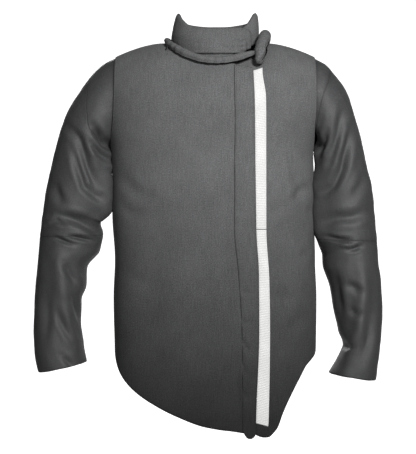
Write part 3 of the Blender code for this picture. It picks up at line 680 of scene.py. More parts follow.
def band_foot(share):
    """The rounded lower end of the band."""
    start = closing_line("edge", BAND_FOOT, BAND_TOP)(0.0)[0]
    end = closing_line("band", BAND_FOOT, BAND_TOP)(0.0)[0]
    return mix(start, end, share), BAND_FOOT + 0.012 * np.abs(2 * share - 0.9) ** 2.4


def band_head(share):
    """The upper end of the band, under the collar's roll."""
    start = closing_line("edge", BAND_FOOT, BAND_TOP)(1.0)[0]
    end = closing_line("band", BAND_FOOT, BAND_TOP)(1.0)[0]
    return mix(start, end, share), BAND_TOP + 0.006 * share


def band_side(name, share_along):
    """One long side of the band, from its rounded foot to its head."""
    def line(share):
        turn, level = closing_line(name, BAND_FOOT, BAND_TOP)(share)
        low = band_foot(share_along)[1] - BAND_FOOT
        high = band_head(share_along)[1] - BAND_TOP
        return turn, level + mix(low, high, share)
    return line


along, up = shares(28, 300, (0.6, 0.2))
turn, level = between(band_foot, band_head, band_side("edge", 0.0), band_side("band", 1.0))(along, up)
band_form = body_surface(turn, level, 1)
front_band = cloth_wall(
    "front_band_cloth", band_form, BAND_WALL,
    ((0.0058, 0.0065), (0.0006, 0.002), (0.0014, 0.004), NO_RIM), outward=-1,
    lift=LAID_ON + BAND_WALL, moves=creases(BAND_CREASES), weave=weave_on_body(turn, level))
hang(front_band, "front_band", band_form)

# %% Fastening tape, in two lengths
TAPE_WALL = 0.0012
TAPE_TUCK = 0.003
TAPE_TOP = -0.0630
TAPE_TOP_SLANT = 0.006
TAPE_JOINT = -0.3825
TAPE_FOOT = -0.766
TAPE_FOOT_SLANT = -0.008
TAPE_EDGE = (0.0005, 0.0012)


def tape(name, node, foot, head, foot_slant, head_slant, rows):
    """One length of the tape, sewn on the left front beside the closing."""
    def side(column, shift, slanted):
        def edge(share):
            level = level_at(mix(foot + foot_slant * slanted, head + head_slant * slanted, share))
            return turn_at(closing_across(column, level) + shift, level), level
        return edge

    def across(start, end, place):
        def edge(share):
            return [mix(start(place)[axis], end(place)[axis], share) for axis in (0, 1)]
        return edge

    start, end = side("edge", -TAPE_TUCK, 0.0), side("tape", 0.0, 1.0)
    along, up = shares(16, rows, (0.5, 0.0))
    turn, level = between(across(start, end, 0.0), across(start, end, 1.0), start, end)(along, up)
    form = body_point(turn, level, 1, underlap_depth(turn, level))
    width, length, _area = cut_size(form)
    weave = np.stack((along * width, up * length), axis=-1)
    piece = cloth_wall(
        name, form, TAPE_WALL, (TAPE_EDGE, TAPE_EDGE, TAPE_EDGE, TAPE_EDGE),
        lift=LAID_ON + TAPE_WALL, weave=weave)
    hang(piece, node, form)
    return piece


tape_upper = tape("tape_upper_cloth", "tape_upper", TAPE_JOINT + HALF_SEAM * 2, TAPE_TOP,
                  0.0, TAPE_TOP_SLANT, 150)
tape_lower = tape("tape_lower_cloth", "tape_lower", TAPE_FOOT, TAPE_JOINT - HALF_SEAM * 2,
                  TAPE_FOOT_SLANT, 0.0, 180)

# %% [markdown]
# ## The sleeves
# Each sleeve is a thin tube of smooth cloth, bent at the elbow, in three pieces: a shoulder
# panel, an upper sleeve and a forearm. A tube could be made by lofting circles by hand. A table
# of slanting rings does the same, and one formula places every point by its ring and its angle
# round the arm. The heavy folds lie in the armpit and at the elbow.

# %% Rings of the sleeves
RING_COLUMNS = ("ring", "top_across", "top_up", "under_across", "under_up", "depth", "forward")
RIGHT_RINGS = (
    (0, 0.2050, -0.031, 0.2140, -0.222, 0.0740, 0.000),
    (1, 0.2285, -0.042, 0.2160, -0.229, 0.0750, 0.000),
    (2, 0.2525, -0.062, 0.2163, -0.237, 0.0755, 0.000),
    (3, 0.2790, -0.097, 0.2160, -0.249, 0.0755, 0.000),
    (4, 0.3083, -0.1471, 0.2154, -0.264, 0.0740, 0.001),
    (5, 0.3248, -0.1971, 0.2148, -0.2851, 0.0725, 0.002),
    (6, 0.3370, -0.2462, 0.2145, -0.3091, 0.0710, 0.003),
    (7, 0.3473, -0.2961, 0.2147, -0.3361, 0.0700, 0.004),
    (8, 0.3562, -0.3521, 0.2370, -0.366, 0.0680, 0.006),
    (9, 0.3608, -0.3979, 0.2293, -0.3949, 0.0680, 0.009),
    (10, 0.3634, -0.4317, 0.2385, -0.4278, 0.0670, 0.012),
    (11, 0.3660, -0.4635, 0.2626, -0.4615, 0.0640, 0.015),
    (12, 0.3685, -0.4991, 0.2648, -0.4972, 0.0620, 0.018),
    (13, 0.3697, -0.5307, 0.2739, -0.5307, 0.0590, 0.021),
    (14, 0.3709, -0.5879, 0.2709, -0.5879, 0.0560, 0.026),
    (15, 0.3689, -0.633, 0.2671, -0.6241, 0.0540, 0.030),
    (16, 0.3609, -0.6731, 0.2617, -0.6514, 0.0530, 0.034),
)
LEFT_RINGS = (
    (0, 0.2050, -0.031, 0.2020, -0.222, 0.0740, 0.000),
    (1, 0.2265, -0.042, 0.2045, -0.229, 0.0750, 0.000),
    (2, 0.2460, -0.062, 0.2050, -0.237, 0.0755, 0.000),
    (3, 0.2710, -0.097, 0.2055, -0.249, 0.0750, 0.000),
    (4, 0.2876, -0.1471, 0.2059, -0.264, 0.0730, 0.001),
    (5, 0.3018, -0.1971, 0.2063, -0.2851, 0.0715, 0.002),
    (6, 0.3122, -0.2462, 0.2062, -0.3091, 0.0700, 0.003),
    (7, 0.3240, -0.2961, 0.2062, -0.3361, 0.0690, 0.004),
    (8, 0.3292, -0.3521, 0.2062, -0.371, 0.0680, 0.006),
    (9, 0.3338, -0.4069, 0.2102, -0.4029, 0.0670, 0.009),
    (10, 0.3351, -0.4357, 0.2204, -0.4337, 0.0650, 0.012),
    (11, 0.3370, -0.4595, 0.2216, -0.4565, 0.0630, 0.015),
    (12, 0.3415, -0.4972, 0.2348, -0.4952, 0.0610, 0.018),
    (13, 0.3431, -0.5436, 0.2428, -0.5426, 0.0580, 0.022),
    (14, 0.3409, -0.5898, 0.2523, -0.5879, 0.0560, 0.026),
    (15, 0.3375, -0.6232, 0.2609, -0.6173, 0.0550, 0.029),
    (16, 0.3280, -0.6889, 0.2312, -0.6731, 0.0540, 0.034),
)
ELBOW_RING = 9
CUFF_RING = 16
CAP_COLUMNS = ("angle", "ring")
RIGHT_CAP_ROWS = ((0, 2.45), (37, 2.55), (66, 3.0), (87, 3.3), (120, 2.6), (150, 1.6), (180, 1.1))
LEFT_CAP_ROWS = ((0, 1.7), (45, 1.5), (78, 0.8), (105, 0.45), (140, 0.40), (180, 0.40))
SLEEVE_WALL = 0.003
SLEEVE_STEP = 0.003
SLEEVE_TUCK = 0.0011
ARMHOLE_CLEARANCE = 0.0012
ARMHOLE_FADE = 2.5


def armhole_edge(side, angle):
    """The armhole's edge on the body, by the angle round from the shoulder, front first."""
    face = np.where(angle <= math.pi, 1, -1)
    share = np.where(angle <= math.pi, 1 - angle / math.pi, angle / math.pi - 1)
    level = armhole_level(share)
    turn = side * armhole_turn(level)
    spot = body_point(turn, level, face, SLEEVE_STEP * ease(share, 0.10, 0.45))
    spot[..., 0] += side * ARMHOLE_CLEARANCE
    return spot


def ring_point(side, size, angle):
    """A point of one slanting ring."""
    middle_across = (size["top_across"] + size["under_across"]) / 2
    middle_up = (size["top_up"] + size["under_up"]) / 2
    swing = np.cos(angle)
    across = middle_across + (size["top_across"] - size["under_across"]) / 2 * swing
    up = middle_up + (size["top_up"] - size["under_up"]) / 2 * swing
    return np.stack((side * across, -size["forward"] - size["depth"] * np.sin(angle), up), axis=-1)


def sleeve_surface(side, rings, ring, angle):
    """Points on the outside of a sleeve, by ring number and the angle round from its top."""
    ring, angle = np.broadcast_arrays(ring, angle)
    size = {name: read(rings, RING_COLUMNS, name, ring) for name in RING_COLUMNS[1:]}
    first = dict(zip(RING_COLUMNS[1:], rings[0][1:]))
    fade = (1 - ease(ring, 0, ARMHOLE_FADE))[..., None]
    gap = armhole_edge(side, angle) - ring_point(side, first, angle)
    return ring_point(side, size, angle) + gap * fade


# %% Creases in the sleeves
RIGHT_SLEEVE_CREASES = (
    (((-0.304, -0.170), (-0.283, -0.193), (-0.265, -0.246), (-0.239, -0.310)), 0.0085, 0.0062),
    (((-0.296, -0.207), (-0.283, -0.255), (-0.269, -0.294), (-0.225, -0.331)), 0.0075, 0.0052),
    (((-0.254, -0.168), (-0.234, -0.196), (-0.212, -0.226)), 0.0080, 0.0080),
    (((-0.255, -0.204), (-0.236, -0.226), (-0.210, -0.250)), 0.0065, 0.0050),
    (((-0.226, -0.260), (-0.219, -0.268), (-0.213, -0.279)), 0.0050, 0.0030),
    (((-0.333, -0.286), (-0.326, -0.310), (-0.315, -0.331)), 0.0080, 0.0028),
    (((-0.342, -0.350), (-0.305, -0.357), (-0.275, -0.366), (-0.226, -0.392)), 0.0095, 0.0066),
    (((-0.347, -0.371), (-0.330, -0.364), (-0.310, -0.372)), 0.0050, 0.0034),
    (((-0.335, -0.398), (-0.313, -0.406), (-0.290, -0.414)), 0.0042, 0.0034),
    (((-0.304, -0.396), (-0.281, -0.399), (-0.252, -0.406)), 0.0042, 0.0036),
    (((-0.329, -0.420), (-0.320, -0.480), (-0.308, -0.560), (-0.295, -0.638)), 0.0130, -0.0040),
    (((-0.328, -0.550), (-0.312, -0.585), (-0.295, -0.618)), 0.0065, 0.0036),
    (((-0.313, -0.452), (-0.300, -0.474), (-0.284, -0.497)), 0.0070, 0.0036),
    (((-0.293, -0.524), (-0.284, -0.546), (-0.273, -0.572)), 0.0070, 0.0032),
    (((-0.316, -0.644), (-0.304, -0.656), (-0.291, -0.668)), 0.0060, 0.0026),
    (((-0.352, -0.500), (-0.348, -0.560), (-0.352, -0.620)), 0.0100, 0.0028),
)
# The fullness of each sleeve that rests against the front of the body, as level, depth and how
# far it swells, with the angle round the sleeve where it lies.
FULLNESS_ANGLE = 155
FULLNESS_WIDTH = 18
FULLNESS = 0.0130
FULLNESS_LEVELS = {-1: (-0.390, -0.345, -0.225, -0.195), 1: (-0.425, -0.375, -0.225, -0.195)}
LEFT_SLEEVE_CREASES = (
    (((0.267, -0.124), (0.257, -0.180), (0.236, -0.240)), 0.0085, 0.0044),
    (((0.281, -0.168), (0.276, -0.207), (0.263, -0.255), (0.244, -0.292), (0.215, -0.315)), 0.0085, 0.0066),
    (((0.203, -0.180), (0.213, -0.218), (0.210, -0.276)), 0.0085, 0.0062),
    (((0.232, -0.182), (0.222, -0.208), (0.207, -0.226)), 0.0070, 0.0050),
    (((0.312, -0.262), (0.302, -0.292), (0.283, -0.318)), 0.0085, 0.0028),
    (((0.318, -0.344), (0.284, -0.356), (0.250, -0.358), (0.216, -0.372)), 0.0100, 0.0048),
    (((0.226, -0.396), (0.254, -0.402), (0.281, -0.404)), 0.0048, 0.0034),
    (((0.256, -0.416), (0.270, -0.414), (0.283, -0.418)), 0.0050, -0.0030),
    (((0.276, -0.424), (0.288, -0.422), (0.304, -0.416)), 0.0046, 0.0036),
    (((0.307, -0.440), (0.306, -0.528), (0.298, -0.590), (0.280, -0.640), (0.271, -0.675)), 0.0120, -0.0040),
    (((0.268, -0.497), (0.287, -0.502), (0.306, -0.515)), 0.0070, 0.0036),
    (((0.277, -0.548), (0.291, -0.556), (0.306, -0.560)), 0.0065, 0.0030),
    (((0.262, -0.618), (0.274, -0.625), (0.288, -0.624)), 0.0060, 0.0030),
    (((0.248, -0.470), (0.254, -0.520), (0.262, -0.570)), 0.0085, 0.0030),
    (((0.322, -0.560), (0.318, -0.610), (0.306, -0.655)), 0.0090, 0.0028),
)
# Across here is towards the back of the arm, and the lines lie on the outer and inner sides,
# behind the arm's outline.
SIDE_CREASES = (
    (((-0.050, -0.180), (0.000, -0.225), (0.052, -0.250)), 0.010, 0.0040),
    (((-0.056, -0.290), (-0.010, -0.312), (0.046, -0.306)), 0.009, 0.0038),
    (((-0.060, -0.352), (-0.006, -0.368), (0.050, -0.360)), 0.009, 0.0050),
    (((-0.058, -0.392), (0.000, -0.404), (0.050, -0.398)), 0.006, 0.0036),
    (((-0.062, -0.430), (-0.020, -0.456), (0.030, -0.452)), 0.009, 0.0034),
    (((-0.066, -0.520), (-0.036, -0.556), (0.006, -0.566)), 0.009, 0.0030),
    (((-0.036, -0.580), (-0.032, -0.620), (-0.048, -0.660)), 0.010, 0.0028),
)


def fullness(side, points, angle):
    """How far a sleeve swells towards the front of the body."""
    foot, low, high, top = FULLNESS_LEVELS[side]
    level = points[..., 2]
    swell = ease(level, foot, low) * ease(-level, -top, -high)
    return FULLNESS * swell * np.exp(-((np.degrees(angle) - FULLNESS_ANGLE) / FULLNESS_WIDTH) ** 2)


def sleeve_creases(lines, side, angle):
    """The creases seen from in front, like ones behind, and others on the outer and inner sides."""
    front_and_back = creases([(line, width * 1.05, depth * 1.9) for line, width, depth in lines])

    def moves(points, normal):
        total = front_and_back(points, normal)
        beside = ease(np.abs(normal[..., 0]), 0.35, 0.8) * ease(normal[..., 1], 0.10, 0.55)
        for line, width, depth in SIDE_CREASES:
            total = total + beside * crease(points[..., 1], points[..., 2], line, width, depth)
        return total - fullness(side, points, angle)
    return moves


# %% Sew up a sleeve
SLEEVE_GIRTH = 0.46


def sleeve_piece(node, side, rings, start, end, rows, rims, lines):
    """A stretch of sleeve between two ring numbers, each a function of the angle."""
    along, up = shares(112, rows, (0.0, 0.6))
    angle = along * 2 * math.pi
    ring = mix(start(angle), end(angle), up)
    form = sleeve_surface(side, rings, ring, angle)
    way = edge_distances(form[:, :-1][:, 28:29])[2]
    weave = np.stack((along * SLEEVE_GIRTH, np.broadcast_to(way, along.shape)), axis=-1)
    piece = cloth_wall(
        node + "_cloth", form, SLEEVE_WALL, (NO_RIM, NO_RIM, *rims), outward=side,
        moves=sleeve_creases(lines, side, angle), weave=weave, tube=True)
    hang(piece, node, form)
    return piece


def sleeve(side, word, rings, cap_rows, lines):
    """Shoulder panel, upper sleeve and forearm of one side."""
    def cap(angle):
        degrees = np.degrees(np.minimum(angle, 2 * math.pi - angle))
        return read(cap_rows, CAP_COLUMNS, "ring", degrees)

    def tucked(ring, angle):
        here = sleeve_surface(side, rings, ring, angle)
        there = sleeve_surface(side, rings, ring + 0.1, angle)
        return ring - 0.1 * SLEEVE_TUCK / np.linalg.norm(there - here, axis=-1)

    def at(ring):
        return lambda angle: np.full(angle.shape, float(ring))

    narrow, cuff = (0.0009, 0.004), (0.0010, 0.004)
    return [
        sleeve_piece(word + "_shoulder_panel", side, rings, at(0), cap, 30,
                     (NO_RIM, narrow), lines),
        sleeve_piece(word + "_upper_sleeve", side, rings, lambda a: tucked(cap(a), a), at(ELBOW_RING), 96,
                     (narrow, narrow), lines),
        sleeve_piece(word + "_forearm", side, rings, lambda a: tucked(at(ELBOW_RING)(a), a), at(CUFF_RING),
                     90, (narrow, cuff), lines),
    ]


right_sleeve = sleeve(-1, "right", RIGHT_RINGS, RIGHT_CAP_ROWS, RIGHT_SLEEVE_CREASES)
left_sleeve = sleeve(1, "left", LEFT_RINGS, LEFT_CAP_ROWS, LEFT_SLEEVE_CREASES)
for piece in right_sleeve + left_sleeve:
    lumps(piece, 0.035, 0.0022)

# %% [markdown]
# ## Collar and neck roll
# The stand collar is one padded strip that wraps the neck once and overlaps itself in front. A
# stuffed roll lies round its foot, and swells at its end on the left front. The strip is another
# wall of cloth on a leaning ring. The roll is a grid closed round the neck's line, with a soft
# seam flange along its lower side, and its two ends drawn to a point like a sewn cushion's.

# %% Collar
COLLAR_WALL = 0.009
COLLAR_FREE_END = 56
COLLAR_HIDDEN_END = -335
COLLAR_FOOT_HALF = 0.0905
COLLAR_FOOT_DEPTH = 0.0775
COLLAR_TOP_HALF = 0.0830
COLLAR_TOP_DEPTH = 0.0715
COLLAR_LEAN = 0.004
COLLAR_FOOT_LEAN = -0.3
COLLAR_NARROWING_HEIGHT = 0.055
COLLAR_BULGE = 0.002
COLLAR_UNDERLAP = 0.0102
COLLAR_CURL = 0.0015
COLLAR_COLUMNS = ("angle", "top", "under")
COLLAR_ROWS = (
    (-335, 0.0190, 1.0), (-318, 0.0235, 1.0), (-306, 0.0310, 1.0), (-300, 0.0375, 0.92),
    (-284, 0.0590, 0.25), (-274, 0.0625, 0.0), (-258, 0.0570, 0.0), (-240, 0.0500, 0.0),
    (-210, 0.0460, 0.0), (-180, 0.0450, 0.0), (-150, 0.0460, 0.0), (-120, 0.0500, 0.0),
    (-104, 0.0560, 0.0), (-88, 0.0620, 0.0), (-78, 0.0600, 0.0), (-58, 0.0446, 0.0),
    (-45, 0.0338, 0.0), (-30, 0.0240, 0.0), (0, 0.0217, 0.0), (30, 0.0235, 0.0),
    (43, 0.0245, 0.0), (50, 0.0232, 0.0), (56, 0.0190, 0.0),
)
COLLAR_CREASES = (
    (((-0.092, -0.010), (-0.080, 0.010), (-0.062, 0.016)), 0.006, 0.0014),
    (((-0.060, -0.020), (-0.040, -0.012), (-0.018, -0.014)), 0.006, 0.0010),
    (((0.010, -0.004), (0.036, -0.010), (0.060, -0.004)), 0.006, 0.0011),
    (((0.040, 0.010), (0.052, 0.004), (0.063, 0.008)), 0.0040, 0.0022),
    (((0.044, -0.002), (0.055, -0.005), (0.064, -0.002)), 0.0036, 0.0020),
    (((0.046, -0.012), (0.056, -0.014), (0.065, -0.012)), 0.0032, 0.0016),
    (((0.062, 0.018), (0.0685, 0.006), (0.0695, -0.010), (0.063, -0.022)), 0.0028, 0.0024),
)
COLLAR_STEP = (0.0160, 0.0190)
STEP_DEPTH = 0.0065


def collar_surface(angle, rise):
    """Points on the outside of the collar, by angle and share of its height."""
    top = read(COLLAR_ROWS, COLLAR_COLUMNS, "top", angle)
    under = read(COLLAR_ROWS, COLLAR_COLUMNS, "under", angle) * COLLAR_UNDERLAP
    turn, level = neck_spot(angle)
    foot = body_surface(turn, level, neck_face(angle))[..., 2] + HALF_SEAM * 4
    height = mix(foot, top, rise)
    narrow = ease(np.maximum(0.0, height) / COLLAR_NARROWING_HEIGHT, -0.3, 1.3)
    curl = COLLAR_CURL * ease(height, 0.050, 0.068)
    bulge = COLLAR_BULGE * np.sin(rise * math.pi) - under - curl
    half = mix(COLLAR_FOOT_HALF, COLLAR_TOP_HALF, narrow) + bulge
    depth = mix(COLLAR_FOOT_DEPTH, COLLAR_TOP_DEPTH, narrow) + bulge
    across = COLLAR_LEAN * mix(COLLAR_FOOT_LEAN, 1.0, narrow) + half * np.sin(np.radians(angle))
    forward = depth * np.cos(np.radians(angle)) - NECK_BACK
    return np.stack((across, -forward, height), axis=-1)


def collar_moves(points, normal):
    """The collar's creases, and the step where its padded band ends above the roll."""
    across, up = seen_from_front(points)
    window = ease(across, -0.084, -0.058) * ease(-across, -0.069, -0.064) * ease(-normal[..., 1], 0.0, 0.4)
    return creases(COLLAR_CREASES)(points, normal) + STEP_DEPTH * window * ease(-up, *COLLAR_STEP)


along, up = shares(300, 44, (0.15, 0.45))
collar_angle = mix(COLLAR_HIDDEN_END, COLLAR_FREE_END, along)
collar_form = collar_surface(collar_angle, up)
collar_weave = np.stack((np.radians(collar_angle) * 0.085, collar_form[..., 2]), axis=-1)
collar = cloth_wall(
    "collar_cloth", collar_form, COLLAR_WALL,
    ((0.0034, 0.007), (0.0028, 0.006), (0.0020, 0.006), (0.0036, 0.009)),
    moves=collar_moves, weave=collar_weave)
hang(collar, "collar", collar_form)
lumps(collar, 0.030, 0.0012)

# %% Neck roll
ROLL_GAP = 0.0024
ROLL_COLUMNS = ("angle", "reach", "half_width", "half_height")
ROLL_ROWS = (
    (-320, 1.36, 0.0120, 0.0135),
    (-305, 1.19, 0.0128, 0.0142),
    (-290, 1.12, 0.0124, 0.0142),
    (-272, 1.09, 0.0115, 0.0125),
    (-245, 1.08, 0.0085, 0.0095),
    (-215, 1.07, 0.0062, 0.0074),
    (-180, 1.06, 0.0054, 0.0066),
    (-140, 1.06, 0.0050, 0.0054),
    (-110, 1.05, 0.0048, 0.0042),
    (-80, 1.06, 0.0054, 0.0044),
    (-62, 1.08, 0.0062, 0.0058),
    (-40, 1.09, 0.0066, 0.0072),
    (0, 1.09, 0.0066, 0.0070),
    (30, 1.12, 0.0066, 0.0070),
    (46, 1.17, 0.0062, 0.0066),
)
ROLL_ON_LEFT_FRONT = -250
ROLL_START, ROLL_END = ROLL_ROWS[0][0], ROLL_ROWS[-1][0]
ROLL_POINT = 0.05


def roll_middle(angle):
    """The middle of the roll, where it rests on the panels."""
    reach, wide, high = (read(ROLL_ROWS, ROLL_COLUMNS, name, angle) for name in ROLL_COLUMNS[1:])
    turn, level = neck_spot(angle, reach)
    face = neck_face(angle, reach)
    depth = np.where(angle < ROLL_ON_LEFT_FRONT, underlap_depth(turn, level), 0.0)
    normal = body_normal(turn, level, face)
    flat = np.hypot(normal[..., 0], normal[..., 1])
    support = np.hypot(flat * wide, normal[..., 2] * high) + ROLL_GAP
    return body_point(turn, level, face, depth - support)


def roll_surface(angle, around):
    """Points on the roll, by the angle round the neck and the share round the roll."""
    run = roll_middle(np.minimum(ROLL_END, angle + 2)) - roll_middle(np.maximum(ROLL_START, angle - 2))
    run = unit(run)
    outward = unit(np.cross(run, np.array((0.0, 0.0, 1.0))))
    upward = unit(np.cross(outward, run))
    turn = around * 2 * math.pi
    share = (angle - ROLL_START) / (ROLL_END - ROLL_START)
    ends = np.minimum(1 - share, share * 1.6)
    round_end = np.sqrt(np.clip(1 - (1 - np.clip(ends / ROLL_POINT, 0, 1)) ** 2, 0, 1))
    flange = 0.0016 * np.exp(-((turn - 5.35) / 0.16) ** 2) * round_end
    groove = 0.0034 * np.exp(-((turn - 0.15) / 0.30) ** 2) * (1 - ease(angle, -308, -284))
    gathers = 0.0007 * np.sin(np.radians(angle) * 31 + 2.0 * np.sin(np.radians(angle) * 7))
    wide = read(ROLL_ROWS, ROLL_COLUMNS, "half_width", angle) * round_end + flange - groove + gathers
    high = read(ROLL_ROWS, ROLL_COLUMNS, "half_height", angle) * round_end + flange + gathers * 0.5
    swing = outward * (wide * np.cos(turn))[..., None] + upward * (high * np.sin(turn))[..., None]
    return roll_middle(angle) + swing


ROLL_COLUMNS_COUNT, ROLL_ROWS_COUNT = 44, 330
bpy.ops.object.select_all(action="DESELECT")
bpy.ops.mesh.primitive_grid_add(x_subdivisions=ROLL_COLUMNS_COUNT, y_subdivisions=ROLL_ROWS_COUNT, size=1)
neck_roll = bpy.context.object
neck_roll.name = "neck_roll_cloth"
around, along = shares(ROLL_COLUMNS_COUNT, ROLL_ROWS_COUNT, (0.0, 0.35))
roll_angle = mix(ROLL_START, ROLL_END, along)
roll_points = roll_surface(roll_angle, around)
roll_points[0] = roll_points[0].mean(axis=0)
roll_points[-1] = roll_points[-1].mean(axis=0)
neck_roll.data.vertices.foreach_set("co", roll_points.reshape(-1))
roll_weave = np.stack((np.radians(roll_angle) * 0.09, around * 0.05), axis=-1)
corner = np.empty(len(neck_roll.data.loops), dtype=np.int32)
neck_roll.data.loops.foreach_get("vertex_index", corner)
neck_roll.data.uv_layers[0].data.foreach_set("uv", roll_weave.reshape(-1, 2)[corner].ravel())
# Painted shade: a dark line along the roll's lower side, just above its seam flange, through the cloth's
# edge darkening.
set_attribute(neck_roll.data, "edge", "FLOAT",
              np.exp(-((around * 2 * math.pi - 5.0) / 0.22) ** 2).astype(np.float32))
bpy.ops.object.mode_set(mode="EDIT")
bpy.ops.mesh.select_all(action="SELECT")
bpy.ops.mesh.remove_doubles(threshold=0.00001)
bpy.ops.mesh.normals_make_consistent(inside=False)
bpy.ops.object.mode_set(mode="OBJECT")
bpy.ops.object.shade_smooth()
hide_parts("neck_roll")
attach(neck_roll, "root")
middle_line = roll_middle(np.linspace(ROLL_START, ROLL_END, 200))
roll_length = float(np.sum(np.linalg.norm(np.diff(middle_line, axis=0), axis=1)))
print("neck roll has", len(neck_roll.data.polygons), "faces and is", round(roll_length, 3), "m long")

# %% [markdown]
# ## Stitching
# A row of stitches is one small shape repeated along a seam. It is modelled once, as a short
# rounded thread, repeated by an Array modifier, and bent along the seam by a Curve modifier.
# The seam's line is read off the cloth it is sewn through, so it follows every crease.

# %% A line on a piece of cloth, and stitches along it
STITCH = 0.0024
STITCH_PITCH = 0.0031
STITCH_THICKNESS = 0.00050
START_SIDE, END_SIDE = 0, 1


def beside(name, side, distance, low=0.0, high=1.0, proud=0.0001):
    """A line up a piece of cloth, a distance in from its start or end side."""
    points, normal = skins[name]
    way = edge_distances(points)[side]
    order = slice(None) if side == START_SIDE else slice(None, None, -1)
    rows = range(int(low * (len(points) - 1)), int(high * (len(points) - 1)) + 1)
    line = []
    for row in rows:
        spot = [np.interp(distance, way[row][order], points[row, :, axis][order]) for axis in range(3)]
        out = [np.interp(distance, way[row][order], normal[row, :, axis][order]) for axis in range(3)]
        line.append(np.array(spot) + np.array(out) * proud)
    return np.array(line)


def repeat_count(run, pitch):
    """How many stitches fit on a seam."""
    return max(1, int(run / pitch))


def stitch_row(name, line, pitch=STITCH_PITCH, length=STITCH, thickness=STITCH_THICKNESS):
    """A row of stitches along a line of points."""
    curve = bpy.data.curves.new(name + "_seam", "CURVE")
    curve.dimensions = "3D"
    spline = curve.splines.new("POLY")
    spline.points.add(len(line) - 1)
    spline.points.foreach_set("co", np.column_stack((line, np.ones(len(line)))).ravel())
    seam = bpy.data.objects.new(name + "_seam", curve)
    bpy.context.collection.objects.link(seam)
    run = float(np.sum(np.linalg.norm(np.diff(line, axis=0), axis=1)))

    bpy.ops.object.select_all(action="DESELECT")
    bpy.ops.mesh.primitive_uv_sphere_add(segments=6, ring_count=4, radius=0.5)
    row = bpy.context.object
    row.name = name
    bpy.ops.transform.resize(value=(length, thickness, thickness))
    bpy.ops.transform.translate(value=(length / 2, 0, 0))
    bpy.ops.object.transform_apply(location=True, rotation=True, scale=True)
    repeat = row.modifiers.new("repeat", "ARRAY")
    repeat.count = repeat_count(run, pitch)
    repeat.use_relative_offset = False
    repeat.use_constant_offset = True
    repeat.constant_offset_displace = (pitch, 0, 0)
    bend = row.modifiers.new("bend", "CURVE")
    bend.object = seam
    bpy.ops.object.modifier_apply(modifier="repeat")
    bpy.ops.object.modifier_apply(modifier="bend")
    bpy.data.objects.remove(seam)
    bpy.ops.object.shade_smooth()
    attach(row, "root")
    print(name, "has", repeat_count(run, pitch), "stitches")
    return row


def sew(rows):
    """Rows of stitches, each a name, the cloth, a side, the distance from it, and a stretch."""
    return [stitch_row(name, beside(cloth, *line)) for name, cloth, *line in rows]


dark_rows = sew((
    ("band_seam_stitches", "front_band_cloth", END_SIDE, 0.0022, 0.01, 0.88),
    ("collar_end_stitches", "collar_cloth", END_SIDE, 0.0085, 0.08, 0.92),
))
grey_rows = sew((
    ("band_head_stitches", "front_band_cloth", END_SIDE, 0.0022, 0.88, 0.99),
    ("band_second_stitches", "front_band_cloth", END_SIDE, 0.0062, 0.88, 0.99),
    ("right_armhole_stitches", "right_front_cloth", END_SIDE, 0.0060, 0.565, 0.98),
    ("left_armhole_stitches", "left_front_cloth", END_SIDE, 0.0060, 0.565, 0.98),
))
white_rows = sew((
    ("tape_upper_stitches", "tape_upper_cloth", END_SIDE, 0.0026),
    ("tape_lower_stitches", "tape_lower_cloth", END_SIDE, 0.0026),
    ("tape_upper_inner_stitches", "tape_upper_cloth", START_SIDE, 0.0052),
    ("tape_lower_inner_stitches", "tape_lower_cloth", START_SIDE, 0.0052),
))

# %% [markdown]
# ## Finishes
# The panels are felted charcoal cloth with a dull, speckled face; the sleeves are a smoother
# twill with a soft sheen; the tape is white and woven in fine ribs. An image of cloth would
# repeat and blur, so each weave is worked out by nodes from the flat map of the cloth, which is
# in metres. The weave's own threads go in the bump, and the speckle in the colour. The colour
# also carries painted shade: it darkens with the level down to the hem, and near edges and seams.

# %% Nodes for a weave
def node(tree, kind, **values):
    """Add a node and set its values, by property or by input name."""
    made = tree.nodes.new(kind)
    for name, value in values.items():
        label = name.replace("_", " ")
        if label in made.inputs:
            made.inputs[label].default_value = value
        else:
            setattr(made, name, value)
    return made


def stretched(tree, source, scale, angle=0.0):
    """The cloth's flat map, scaled and turned."""
    mapping = node(tree, "ShaderNodeMapping")
    mapping.inputs["Scale"].default_value = scale
    mapping.inputs["Rotation"].default_value = (0, 0, angle)
    tree.links.new(source, mapping.inputs["Vector"])
    return mapping.outputs["Vector"]


def noise(tree, vector, scale, detail=2.0, rough=0.5):
    """A noise texture on a vector."""
    made = node(tree, "ShaderNodeTexNoise", Scale=scale, Detail=detail, Roughness=rough)
    tree.links.new(vector, made.inputs["Vector"])
    return made.outputs["Fac"]


def ramp(tree, factor, low, high, dark, light):
    """Map a factor between two values onto two colours."""
    made = tree.nodes.new("ShaderNodeMapRange")
    made.data_type = "FLOAT"
    made.inputs["From Min"].default_value = low
    made.inputs["From Max"].default_value = high
    tree.links.new(factor, made.inputs["Value"])
    blend = tree.nodes.new("ShaderNodeMix")
    blend.data_type = "RGBA"
    blend.inputs["A"].default_value = (*dark, 1)
    blend.inputs["B"].default_value = (*light, 1)
    tree.links.new(made.outputs["Result"], blend.inputs["Factor"])
    return blend.outputs["Result"]


def blended(tree, kind, factor, first, second):
    """Blend two colours by a factor that is a number or a socket."""
    made = tree.nodes.new("ShaderNodeMix")
    made.data_type = "RGBA"
    made.blend_type = kind
    if isinstance(factor, float):
        made.inputs["Factor"].default_value = factor
    else:
        tree.links.new(factor, made.inputs["Factor"])
    tree.links.new(first, made.inputs["A"])
    if isinstance(second, tuple):
        made.inputs["B"].default_value = (*second, 1)
    else:
        tree.links.new(second, made.inputs["B"])
    return made.outputs["Result"]


def bumped(tree, height, distance, strength, normal=None):
    """A bump on top of another."""
    made = node(tree, "ShaderNodeBump", Distance=distance, Strength=strength)
    tree.links.new(height, made.inputs["Height"])
    if normal is not None:
        tree.links.new(normal, made.inputs["Normal"])
    return made.outputs["Normal"]


